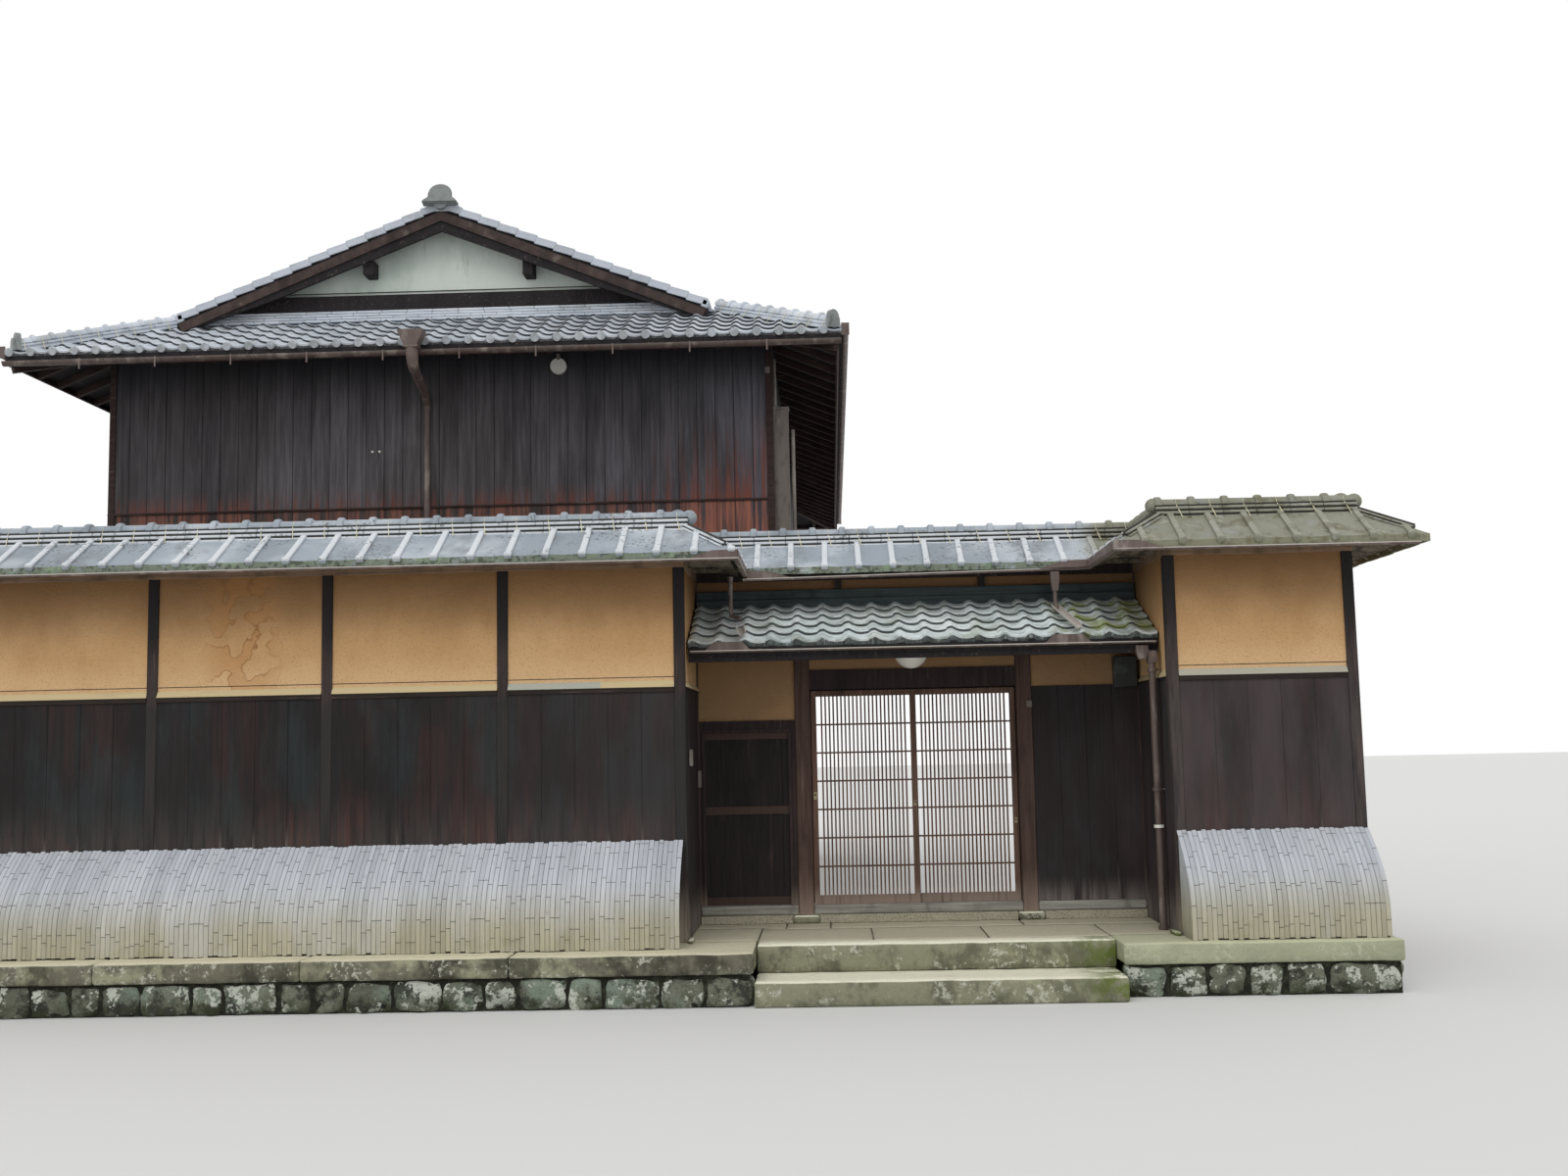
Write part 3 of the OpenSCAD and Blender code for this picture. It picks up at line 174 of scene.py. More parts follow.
class Finish:
    """A material built up in layers over a first colour, on the object's own coordinates."""

    def __init__(self, name, colour, roughness=0.9, metallic=0, specular=0.3):
        self.material = bpy.data.materials.new(name)
        self.material.use_nodes = True
        self.tree = self.material.node_tree
        self.shader = self.tree.nodes["Principled BSDF"]
        self.shader.inputs["Roughness"].default_value = roughness
        self.shader.inputs["Metallic"].default_value = metallic
        self.shader.inputs["Specular IOR Level"].default_value = specular
        self.place = add(self.tree, "TexCoord").outputs["Object"]
        self.colour = add(self.tree, "RGB").outputs[0]
        self.colour.default_value = paint(*colour)
        self.bump = None

    def group(self, kind, **inputs):
        made = add(self.tree, "Group", node_tree=kind)
        self.tree.links.new(self.place, made.inputs["Vector"])
        for name, value in inputs.items():
            made.inputs[name].default_value = value
        return made.outputs["Mask"]

    def patches(self, scale, low, high, stretch=(1, 1, 1), roughness=0.6):
        return self.group(patches, Stretch=stretch, Scale=scale, Low=low, High=high, Roughness=roughness)

    def rise(self, low, high, along=(0, 0, 1)):
        return self.group(rise, Along=along, From=low, To=high)

    def falls(self, low, high, along=(0, 0, 1)):
        return self.outside(self.rise(low, high, along))

    def spots(self, scale, size):
        return self.group(spots, Scale=scale, Size=size)

    def tag(self, name):
        """A value that each copy, board or slat carries on its own points."""
        return add(self.tree, "Attribute", attribute_name=name).outputs["Fac"]

    def upward(self, low, high):
        """1 on faces that look at the sky."""
        height = add(self.tree, "SeparateXYZ",
                     {0: add(self.tree, "NewGeometry").outputs["Normal"]}).outputs[2]
        return self.between(height, low, high)

    def reckon(self, operation, first, second=1.0):
        return add(self.tree, "Math", {0: first, 1: second}, operation=operation).outputs[0]

    def between(self, value, low, high):
        return add(self.tree, "MapRange", {0: value, 1: low, 2: high},
                   interpolation_type="SMOOTHSTEP").outputs[0]

    def outside(self, mask):
        """1 where the mask is 0."""
        return self.reckon("SUBTRACT", 1.0, mask)

    def overlap(self, *masks):
        """1 where all the masks are."""
        whole = masks[0]
        for mask in masks[1:]:
            whole = self.reckon("MULTIPLY", whole, mask)
        return whole

    def seams(self, low, high):
        """1 along both edges of a board, whose points carry how far across it they lie."""
        from_middle = self.reckon("ABSOLUTE", self.reckon("SUBTRACT", self.tag("across"), 0.5))
        return self.between(from_middle, low, high)

    def coat(self, colour, share, *masks):
        """A share of another colour over what is there, where all the masks are."""
        amount = self.overlap(*masks, share)
        mix = add(self.tree, "Mix", {0: amount, 6: self.colour, 7: paint(*colour)}, data_type="RGBA")
        self.colour = mix.outputs[2]

    def shade(self, value, low, high):
        """Darker where the value is 0 and lighter where it is 1."""
        factor = add(self.tree, "MapRange", {0: value, 3: low, 4: high}).outputs[0]
        tinted = add(self.tree, "VectorMath", {0: self.colour, "Scale": factor}, operation="SCALE")
        self.colour = tinted.outputs[0]

    def relief(self, height, depth):
        made = add(self.tree, "Bump", {"Height": height, "Distance": depth, "Strength": 1.0})
        if self.bump:
            self.tree.links.new(self.bump, made.inputs["Normal"])
        self.bump = made.outputs[0]

    def done(self):
        self.tree.links.new(self.colour, self.shader.inputs["Base Color"])
        if self.bump:
            self.tree.links.new(self.bump, self.shader.inputs["Normal"])
        return self.material


def blank(*tags):
    """An empty shape whose points can carry values that a material reads, such as a board's tone."""
    shape = bmesh.new()
    for tag in ("tone", *tags):
        shape.verts.layers.float.new(tag)
    return shape


def marked(shape, verts, **marks):
    """Gives points their values, each a number or what a function makes of the point's place."""
    for name, value in marks.items():
        layer = shape.verts.layers.float[name]
        for vert in verts:
            vert[layer] = value(vert.co) if callable(value) else value


def bar(shape, corner, opposite, ease=0.004, place=None, **marks):
    """A box between two corners with eased edges, added to a shape."""
    low, high = (Vector(pick(pair) for pair in zip(corner, opposite)) for pick in (min, max))
    fit = Matrix.Translation((low + high) / 2) @ Matrix.Diagonal((*(high - low), 1))
    made = bmesh.ops.create_cube(shape, size=1, matrix=(place or Matrix()) @ fit)["verts"]
    if ease:
        edges = list({edge for vert in made for edge in vert.link_edges})
        made = bmesh.ops.bevel(shape, geom=edges, offset=ease, segments=1, affect="EDGES", profile=0.5,
                               material=-1)["verts"]
    marked(shape, made, **marks)
    return made


def finished(name, shape, material, body="root", crisp=38):
    """A shape made a piece of the house, smooth up to its crisp edges."""
    bmesh.ops.recalc_face_normals(shape, faces=shape.faces)
    mesh = bpy.data.meshes.new(name)
    shape.to_mesh(mesh)
    shape.free()
    mesh.materials.append(material)
    mesh.polygons.foreach_set("use_smooth", [True] * len(mesh.polygons))
    mesh.set_sharp_from_angle(angle=math.radians(crisp))
    piece = bpy.data.objects.new(name, mesh)
    bpy.context.scene.collection.objects.link(piece)
    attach(piece, body)
    return piece


def dress(material, *names):
    """Puts a finish on pieces of the frame whose shape is already right."""
    for name in names:
        for surface in cad[name].material_slots:
            surface.material = material


def laid(one, places, seed=1):
    """A shape with a copy of another at each place, where each copy has a tone of its own."""
    bmesh.ops.recalc_face_normals(one, faces=one.faces)
    pattern = bpy.data.meshes.new("pattern")
    one.to_mesh(pattern)
    one.free()
    count, corners, faces = len(pattern.vertices), len(pattern.loops), len(pattern.polygons)
    points = np.ones((count, 4))
    flat = np.empty(count * 3)
    pattern.vertices.foreach_get("co", flat)
    points[:, :3] = flat.reshape(-1, 3)
    corner_points, starts = np.empty(corners, int), np.empty(faces, int)
    pattern.loops.foreach_get("vertex_index", corner_points)
    pattern.polygons.foreach_get("loop_start", starts)
    turns = np.array([[list(row) for row in place] for place in places])
    number = np.arange(len(places))[:, None]
    whole = bpy.data.meshes.new("laid")
    whole.vertices.add(len(places) * count)
    whole.vertices.foreach_set("co", np.einsum("nij,vj->nvi", turns, points)[..., :3].ravel())
    whole.loops.add(len(places) * corners)
    whole.loops.foreach_set("vertex_index", (corner_points + number * count).ravel())
    whole.polygons.add(len(places) * faces)
    whole.polygons.foreach_set("loop_start", (starts + number * corners).ravel())
    for name in {"tone"} | {kind.name for kind in pattern.attributes if kind.data_type == "FLOAT"}:
        values = np.repeat(np.random.default_rng(seed).random(len(places)), count)
        if name != "tone":
            own = np.empty(count)
            pattern.attributes[name].data.foreach_get("value", own)
            values = np.tile(own, len(places))
        whole.attributes.new(name, "FLOAT", "POINT").data.foreach_set("value", values)
    whole.update(calc_edges=True)
    shape = bmesh.new()
    shape.from_mesh(whole)
    bpy.data.meshes.remove(pattern)
    bpy.data.meshes.remove(whole)
    return shape


def joined(*shapes):
    """Several shapes as one."""
    whole = shapes[0]
    for shape in shapes[1:]:
        passing = bpy.data.meshes.new("passing")
        shape.to_mesh(passing)
        shape.free()
        whole.from_mesh(passing)
        bpy.data.meshes.remove(passing)
    return whole


def weathered_stone(name, colour, moss_low, moss_high, roughness=0.95):
    """Grey stone with pale and dark crystals, lichen blooms and moss near the ground."""
    stone = Finish(name, colour, roughness)
    stone.shade(stone.tag("tone"), 0.72, 1.2)
    stone.coat((146, 164, 148), 0.55, stone.patches(1.6, 0.5, 0.64))
    stone.coat([c * 0.4 for c in colour], 0.85, stone.patches(5, 0.46, 0.6, roughness=0.75))
    stone.coat((206, 210, 198), 0.85, stone.patches(3.4, 0.53, 0.58, roughness=0.9))
    stone.coat((60, 58, 50), 0.6, stone.patches(60, 0.58, 0.68))
    stone.coat((52, 58, 34), 0.85, stone.falls(moss_low, moss_high), stone.patches(6, 0.4, 0.6))
    stone.relief(stone.patches(14, 0.3, 0.75), 0.012)
    stone.relief(stone.patches(90, 0.3, 0.7), 0.002)
    return stone.done()


rubble_low, rubble_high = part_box("rubble_footing")
kerb_low, kerb_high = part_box("kerb_left")
right_kerb_low, right_kerb_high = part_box("kerb_right")
steps_low, steps_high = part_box("entrance_steps")
rubble_top = kerb_low.z
stone_proud = 0.022
stone_deep = 0.10
mortar_gap = 0.014
step_gap = 0.008
wall_thick = 0.09


def field_stone(shape, width, height, draw):
    """A rounded rough stone about its middle, its face towards -y, and its back flat."""
    made = bmesh.ops.create_cube(shape, size=1)["verts"]
    edges = list({edge for vert in made for edge in vert.link_edges})
    before = len(shape.verts) - len(made)
    bmesh.ops.subdivide_edges(shape, edges=edges, cuts=7, use_grid_fill=True)
    shape.verts.ensure_lookup_table()
    mine = shape.verts[before:]
    offset = Vector((draw.uniform(-50, 50), draw.uniform(-50, 50), draw.uniform(-50, 50)))
    for vert in mine:
        spot = vert.co * 2
        shrink = (abs(spot.x) ** 6 + abs(spot.y) ** 4 + abs(spot.z) ** 6 + 0.001) ** -0.14
        vert.co *= min(shrink, 1.0)
        vert.co = Vector((vert.co.x * width, vert.co.y * 2 * stone_deep, vert.co.z * height))
        sway = noise.noise_vector(vert.co * 6 + offset) * 0.03
        vert.co += Vector((sway.x, 0, sway.z))
        rough = noise.noise(vert.co * 9 + offset) * 0.034 + noise.noise(vert.co * 30 + offset) * 0.014
        if spot.y < 0.2:
            vert.co.y += rough
    return mine


def stone_row(shape, start, along, length, low, high, draw, widths=(0.24, 0.46)):
    """A row of field stones along a wall face that looks to the right of its direction."""
    along = Vector(along)
    outward = Vector((along.y, -along.x, 0))
    turn = Matrix((along, -outward, (0, 0, 1))).transposed().to_4x4()
    reached = 0.0
    while reached < length - 0.08:
        width = min(draw.uniform(*widths), length - reached)
        if length - reached - width < 0.15:
            width = length - reached
        height = (high - low) * draw.uniform(0.86, 0.97)
        mine = field_stone(shape, width - mortar_gap, height, draw)
        middle = Vector(start) + along * (reached + width / 2) + outward * (stone_proud - stone_deep)
        middle.z = low + height / 2
        bmesh.ops.transform(shape, verts=mine, matrix=Matrix.Translation(middle) @ turn)
        marked(shape, mine, tone=draw.random())
        reached += width


def seated(shape):
    """Keeps every point of a shape on or above the ground that it rests on."""
    for vert in shape.verts:
        vert.co.z = max(vert.co.z, 0.0)


# All draws come from one seeded row of numbers. The noise on the stones needs a seed of its own,
# because it otherwise takes its offset from the clock and each run gives other stones.
draw = random.Random(5)
noise.seed_set(1)
stones = blank()
right_front = right_kerb_low.y + 0.045
side_face = rubble_high.x - 0.026
tier_h = kerb_high.z / 2
for start, along, length, low, high in (
        ((rubble_low.x, rubble_low.y, 0), (1, 0, 0), steps_low.x - step_gap - rubble_low.x, 0.0, rubble_top),
        ((steps_high.x + step_gap, right_front, 0), (1, 0, 0), rubble_high.x - steps_high.x - step_gap, 0.0,
         rubble_top),
        ((rubble_high.x, right_front, 0), (0, 1, 0), wall_thick - right_front, 0.0, rubble_top),
        ((side_face, wall_thick, 0), (0, 1, 0), rubble_high.y - wall_thick, 0.0, tier_h),
        ((side_face, wall_thick, 0), (0, 1, 0), rubble_high.y - wall_thick, tier_h, 2 * tier_h)):
    stone_row(stones, start, along, length, low, high, draw)
rubble_stone = weathered_stone("rubble_stone", (112, 114, 100), 0.02, 0.16)
seated(stones)
finished("footing_stones", stones, rubble_stone, crisp=70)
mortar = Finish("dark_mortar", (34, 34, 28), 0.97)
mortar.coat((58, 60, 46), 1.0, mortar.patches(20, 0.45, 0.65))
mortar.relief(mortar.patches(40, 0.3, 0.7), 0.006)
dress(mortar.done(), "rubble_footing")


# Granite slabs: the kerbs that cap the rubble, the two long steps and the paved landing.
# Each is split stone with a rough face, its arris worn round, laid with thin open joints.
def slab(shape, low, high, draw, ease=0.014, rough=0.005):
    """A rough stone slab between two corners."""
    before = len(shape.verts)
    bar(shape, low, high, ease)
    shape.verts.ensure_lookup_table()
    shape.edges.ensure_lookup_table()
    mine = set(shape.verts[before:])
    for axis, step in ((0, 0.09), (1, 0.12), (2, 0.07)):
        cuts = min(int((high[axis] - low[axis]) / step), 24)
        along = [edge for edge in shape.edges if edge.verts[0] in mine
                 and abs(edge.verts[0].co[axis] - edge.verts[1].co[axis]) > 0.6 * (high[axis] - low[axis])]
        if cuts and along:
            bmesh.ops.subdivide_edges(shape, edges=along, cuts=cuts, use_grid_fill=True)
            shape.verts.ensure_lookup_table()
            mine = set(shape.verts[before:])
    shift = Vector((draw.uniform(-9, 9), draw.uniform(-9, 9), 0))
    for vert in mine:
        vert.co += noise.noise_vector(vert.co * 7 + shift) * rough
        vert.co += noise.noise_vector(vert.co * 25 + shift) * rough * 0.4
    marked(shape, mine, tone=draw.random())


def slab_run(shape, low, high, joints, draw, gap=0.006):
    """Slabs in a row along X, parted at the joints."""
    ends = [low[0], *joints, high[0]]
    for start, end in zip(ends, ends[1:]):
        slab(shape, (start + gap / 2, low[1], low[2]), (end - gap / 2, high[1], high[2]), draw)


def slab_stone(name, top, front, moss=0.5):
    """Granite, pale where it is walked on, its upright faces darker as painted shade, with soot and moss over
    them.
    """
    stone = Finish(name, top, 0.93)
    stone.shade(stone.tag("tone"), 0.94, 1.08)
    upright = stone.outside(stone.upward(0.35, 0.85))
    # Painted shade: every upright face takes the darker front colour.
    stone.coat(front, 0.92, upright)
    stone.coat((164, 164, 136), 0.8, upright, stone.patches(1.4, 0.5, 0.62, roughness=0.75))
    stone.coat((50, 48, 40), moss, upright, stone.patches(2.6, 0.44, 0.62, (1, 1, 0.8), roughness=0.75))
    lichen = stone.overlap(stone.patches(3, 0.5, 0.56), stone.patches(18, 0.52, 0.6, roughness=0.8))
    stone.coat((206, 206, 190), 0.75, upright, lichen)
    stone.coat((200, 200, 180), 0.5, stone.patches(16, 0.62, 0.68, roughness=0.8))
    stone.coat((140, 136, 116), 0.25, stone.patches(5, 0.55, 0.75))
    stone.coat((70, 68, 60), 0.35, stone.patches(110, 0.6, 0.68))
    stone.relief(stone.patches(16, 0.3, 0.75), 0.006)
    stone.relief(stone.patches(120, 0.3, 0.7), 0.0015)
    return stone


recess_low, recess_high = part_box("recess_walls")
landing_low, landing_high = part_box("landing")
floor_z = kerb_high.z
end_kerb, kerb_joint = 1.9, 1.63
kerbs = blank()
kerb_count = int((kerb_high.x - kerb_low.x - end_kerb) / kerb_joint) + 1
kerb_ends = [kerb_high.x - end_kerb - kerb_joint * number for number in reversed(range(kerb_count))]
slab_run(kerbs, kerb_low, kerb_high, kerb_ends, draw)
slab_run(kerbs, right_kerb_low, right_kerb_high, [], draw)
kerb_stone = slab_stone("kerb_granite", (220, 214, 186), (96, 94, 80), moss=0.75)
kerb_stone.coat((184, 188, 158), 0.72, kerb_stone.rise(1.3, 1.5, (1, 0, 0)))
kerb_stone = kerb_stone.done()
seated(kerbs)
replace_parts(finished("kerb_slabs", kerbs, kerb_stone, crisp=60), "kerb_left", "kerb_right")

low_step_z = 0.19
upper_front = -0.24
steps = blank()
slab_run(steps, steps_low, (steps_high.x, upper_front + 0.05, low_step_z), [], draw)
slab_run(steps, (steps_low.x, upper_front, low_step_z), (steps_high.x, 0.0, floor_z), [], draw)
step_stone = slab_stone("step_granite", (246, 244, 220), (128, 128, 104), moss=0.55)
corner = step_stone.overlap(step_stone.rise(1.0, 1.46, (1, 0, 0)), step_stone.patches(9, 0.35, 0.6))
step_stone.coat((96, 112, 34), 0.85, corner)
seated(steps)
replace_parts(finished("step_slabs", steps, step_stone.done(), crisp=60), "entrance_steps")

# The landing's slabs lie on a bed of earth mortar that shows in the joints
paving = blank()
bed_drop = 0.02
bar(paving, (landing_low.x, wall_thick, 0), (landing_high.x, landing_high.y, floor_z - bed_drop), 0)
bar(paving, (steps_low.x, -0.19, 0), (steps_high.x, wall_thick, low_step_z - bed_drop), 0)
bar(paving, (steps_low.x, 0.0, low_step_z - bed_drop), (steps_high.x, wall_thick, floor_z - bed_drop), 0)
marked(paving, paving.verts, tone=0)
slab_thick = 0.09
under = floor_z - slab_thick
open_joint = 0.008
half_joint = open_joint / 2
for x0, x1, y0, y1 in (
        (landing_low.x, -1.385, wall_thick, 1.0), (-1.385, -0.44, 0.0, 0.88), (-0.44, 0.5, 0.0, 0.88),
        (0.5, steps_high.x, 0.0, 0.88), (steps_high.x, landing_high.x, wall_thick, 0.88),
        (landing_low.x, -1.18, 1.0, landing_high.y), (-1.18, -0.79, 0.88, landing_high.y),
        (-0.79, 0.89, 0.88, landing_high.y), (0.89, landing_high.x, 0.88, landing_high.y),
        (-1.385, -1.18, 0.88, 1.0)):
    slab(paving, (x0 + half_joint, y0 + half_joint, under), (x1 - half_joint, y1 - half_joint, floor_z), draw,
         0.008, 0.003)
paving_stone = slab_stone("landing_stone", (196, 190, 166), (110, 106, 86))
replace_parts(finished("landing_slabs", paving, paving_stone.done(), crisp=60), "landing")


# Posts and plates: square cedar posts a little proud of the wall's faces, tenoned into a plate
# that carries the coping. Old lye stain has gone almost black, and the feet have bleached.
def old_timber(name, colour, along=(1, 1, 0.05), foot=None, worn=(150, 134, 122)):
    """Dark stained timber, with its grain along one way and a bleached foot."""
    wood = Finish(name, colour, 0.82)
    wood.shade(wood.tag("tone"), 0.85, 1.2)
    grain = wood.patches(38, 0.3, 0.7, along)
    wood.shade(grain, 0.72, 1.22)
    wood.coat(worn, 0.35, wood.patches(26, 0.6, 0.75, along))
    wood.coat([c * 0.5 for c in colour], 0.6, wood.patches(4, 0.48, 0.7, (1, 1, 0.4)))
    if foot:
        low_down = wood.falls(*foot)
        wood.coat(worn, 0.85, low_down, wood.patches(24, 0.2, 0.5, along))
    wood.relief(grain, 0.0025)
    return wood


post_half = 0.045
drip_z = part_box("wall_boards")[1].z
plaster_z, plate_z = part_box("wall_plaster")[0].z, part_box("wall_plaster")[1].z
plate_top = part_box("wall_rails")[1].z
left_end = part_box("wall_posts")[0].x + post_half
right_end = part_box("wall_posts")[1].x - post_half
recess_left, recess_right = recess_low.x + post_half, recess_high.x - post_half
gate_y = recess_high.y
return_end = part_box("side_wall_right")[1].y
left_bays = 5
bay = (recess_left - left_end) / left_bays
post_places = [left_end + bay * i for i in range(left_bays + 1)] + [recess_right, right_end]
post_wood = old_timber("post_timber", (56, 47, 45), foot=(floor_z, floor_z + 0.55), worn=(160, 150, 136))
by_boards = post_wood.reckon("SUBTRACT", post_wood.rise(floor_z + 0.3, floor_z + 0.8),
                             post_wood.rise(drip_z - 0.1, drip_z))
post_wood.coat((38, 39, 40), 0.6, by_boards)
# Painted light: the two posts right of the gate are made lighter brown, in upright streaks, where they stand
# lit.
post_wood.coat((88, 78, 74), 0.75, post_wood.rise(recess_right - 0.5, recess_right - 0.2, (1, 0, 0)),
               post_wood.patches(14, 0.3, 0.7, (1, 1, 0.1)))
post_wood.coat((26, 22, 25), 0.8, post_wood.rise(plaster_z + 0.1, plaster_z + 0.5))
post_timber = post_wood.done()
posts = blank()
for x in post_places:
    bar(posts, (x - post_half, 0, floor_z), (x + post_half, 2 * post_half, plate_z), 0.005,
        tone=draw.random())
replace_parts(finished("street_posts", posts, post_timber), "wall_posts")
plates = blank()
beam_timber = old_timber("beam_timber", (58, 44, 40), along=(0.05, 1, 1)).done()
plate_timber = old_timber("plate_timber", (128, 104, 84), along=(0.05, 1, 1), worn=(168, 148, 128)).done()
for x0, x1 in ((left_end, recess_left), (recess_right, right_end)):
    bar(plates, (x0 - post_half, 0, plate_z), (x1 + post_half, 2 * post_half, plate_top), 0.005,
        tone=draw.random())
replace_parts(finished("street_plates", plates, plate_timber), "wall_rails")
timber = old_timber("gate_timber", (54, 44, 43), foot=(floor_z, floor_z + 0.4)).done()
dress(timber, "gate_beams", "pent_fascia", "side_door_frame")


# Clay plaster between the posts: ochre earth with straw, worn in the weather, darker under the eaves
# from stain and painted shade, and patched where a crack let the damp in. Thin drip boards cap the dado.
def clay_plaster(name):
    clay = Finish(name, (198, 158, 112), 0.96, specular=0.1)
    clay.coat((208, 170, 126), 0.7, clay.patches(1.1, 0.4, 0.68))
    clay.coat((180, 138, 92), 0.4, clay.patches(2.6, 0.5, 0.75, (1, 1, 0.7)))
    # Painted shade with stain: the plaster darkens towards the plate, under the eave.
    clay.coat((112, 80, 52), 0.8, clay.rise(plate_z - 0.62, plate_z + 0.04))
    clay.coat((134, 100, 68), 0.5, clay.rise(plate_z - 0.75, plate_z - 0.25),
              clay.patches(1.4, 0.35, 0.7, (1, 1, 0.5)))
    foot = clay.falls(plaster_z, plaster_z + 0.3)
    clay.coat((216, 182, 140), 0.7, foot, clay.patches(3, 0.2, 0.5))
    clay.coat((112, 78, 50), 0.65, clay.spots(48, 0.17))
    clay.coat((150, 108, 68), 0.45, clay.patches(85, 0.55, 0.7))
    clay.relief(clay.patches(45, 0.3, 0.7), 0.002)
    clay.relief(clay.patches(6, 0.3, 0.7), 0.004)
    return clay


wall_clay = clay_plaster("clay_plaster")
# A damp stain in the middle of the wall's third bay from the left
stain_x = left_end + 2.52 * bay
stain = wall_clay.overlap(wall_clay.rise(stain_x - 0.42, stain_x - 0.12, (1, 0, 0)),
                          wall_clay.falls(stain_x + 0.1, stain_x + 0.4, (1, 0, 0)))
blots = wall_clay.patches(4.5, 0.49, 0.51, roughness=0.4)
rim = wall_clay.overlap(blots, wall_clay.outside(wall_clay.patches(4.5, 0.51, 0.53, roughness=0.4)))
wall_clay.coat((176, 122, 72), 0.35, stain, blots)
wall_clay.coat((132, 92, 56), 0.6, stain, rim)
plaster = wall_clay.done()
dress(plaster, "wall_plaster", "party_wall_left")
# The gate's plaster is the same clay made darker all over, a painted shade of the gate's recess.
shaded_gate_clay = clay_plaster("gate_clay_plaster")
shaded_gate_clay.coat((126, 96, 70), 0.75, shaded_gate_clay.patches(1.5, 0.0, 0.5))
gate_plaster = shaded_gate_clay.done()
dress(gate_plaster, "gate_plaster")


def only(kind, parts):
    """The parts of one kind, points or edges, among what an operator has made."""
    return [part for part in parts if isinstance(part, kind)]


def drawn(shape, outline, run, **marks):
    """An outline drawn out along a vector as a solid."""
    face = shape.faces.new([shape.verts.new(point) for point in outline])
    grown = bmesh.ops.extrude_face_region(shape, geom=[face], use_keep_orig=True)["geom"]
    far = only(bmesh.types.BMVert, grown)
    bmesh.ops.translate(shape, verts=far, vec=run)
    made = list(face.verts) + far
    marked(shape, made, **marks)
    return made


drip_profile = ((-0.012, drip_z), (-0.012, drip_z + 0.014), (0.018, plaster_z), (0.045, plaster_z),
                (0.045, drip_z))
drips, shadow_strips = blank(), blank()
spans = [(x + post_half, x + bay - post_half) for x in post_places[:left_bays]]
for x0, x1 in spans + [(recess_right + post_half, right_end - post_half)]:
    for side in (1, -1):
        outline = [(x0, post_half + side * (y - post_half), z) for y, z in drip_profile]
        drawn(drips, outline, (x1 - x0, 0, 0), tone=draw.random())
    # Painted shadow: a thin dark line set in the plaster just above the drip board, and a dark rail under its
    # edge.
    shadow_line = bar(shadow_strips, (x0, 0.0165, plaster_z + 0.028), (x1, 0.03, plaster_z + 0.034), 0)
    made = bar(shadow_strips, (x0, -0.009, drip_z - 0.028), (x1, 0.012, drip_z + 0.002), 0.002)
    marked(shadow_strips, shadow_line + made, tone=0.2)
drip_wood = Finish("drip_board", (204, 186, 144), 0.9)
newer = drip_wood.reckon("SUBTRACT", drip_wood.rise(recess_left - bay, recess_left - bay + 0.05, (1, 0, 0)),
                         drip_wood.rise(recess_left - 0.66, recess_left - 0.655, (1, 0, 0)))
drip_wood.coat((172, 176, 166), 0.9, newer)
drip_wood.coat((176, 174, 160), 0.9, drip_wood.rise(recess_right, recess_right + 0.05, (1, 0, 0)))
drip_wood.coat((150, 132, 96), 0.5, drip_wood.patches(24, 0.55, 0.75, (0.06, 1, 1)))
# Painted shadow: the drip board is dark along its lowest centimetre, its front edge and underside.
drip_wood.coat((46, 38, 34), 1.0, drip_wood.falls(drip_z + 0.010, drip_z + 0.014))
drip_wood.coat((120, 96, 66), 0.6, drip_wood.rise(plaster_z + 0.003, plaster_z + 0.006))
drip_wood = drip_wood.done()
finished("drip_boards", drips, drip_wood)
shadow_wood = old_timber("drip_rails", (48, 38, 34), along=(0.05, 1, 1)).done()
finished("drip_rails", shadow_strips, shadow_wood)


# Dado: wide cedar boards nailed upright to hidden rails, five to a bay, stained black.
# Their edges have rubbed pale at the joints, most of all near the foot.
def wall_frame(start, along):
    """The frame of a wall's face: x along it, y into it and z up, seen from the side it faces."""
    along = Vector((*along, 0))
    frame_axes = Matrix((along, Vector((-along.y, along.x, 0)), Vector((0, 0, 1)))).transposed().to_4x4()
    return Matrix.Translation((*start, 0)) @ frame_axes


def planks(shape, start, along, length, low, high, width, draw, proud=0.006, sunk=0.012):
    """Upright boards side by side on the face of a wall."""
    place = wall_frame(start, along)
    count = max(1, round(length / width))
    each = length / count
    back = place.inverted()
    for number in range(count):
        x0, out = number * each, proud + draw.uniform(-0.0025, 0.0025)
        drop = draw.uniform(0, 0.004)
        bar(shape, (x0 + 0.0007, -out, low + drop), (x0 + each - 0.0007, sunk, high), 0.0018, place,
            tone=draw.random(), across=lambda co: ((back @ co).x - x0) / each)


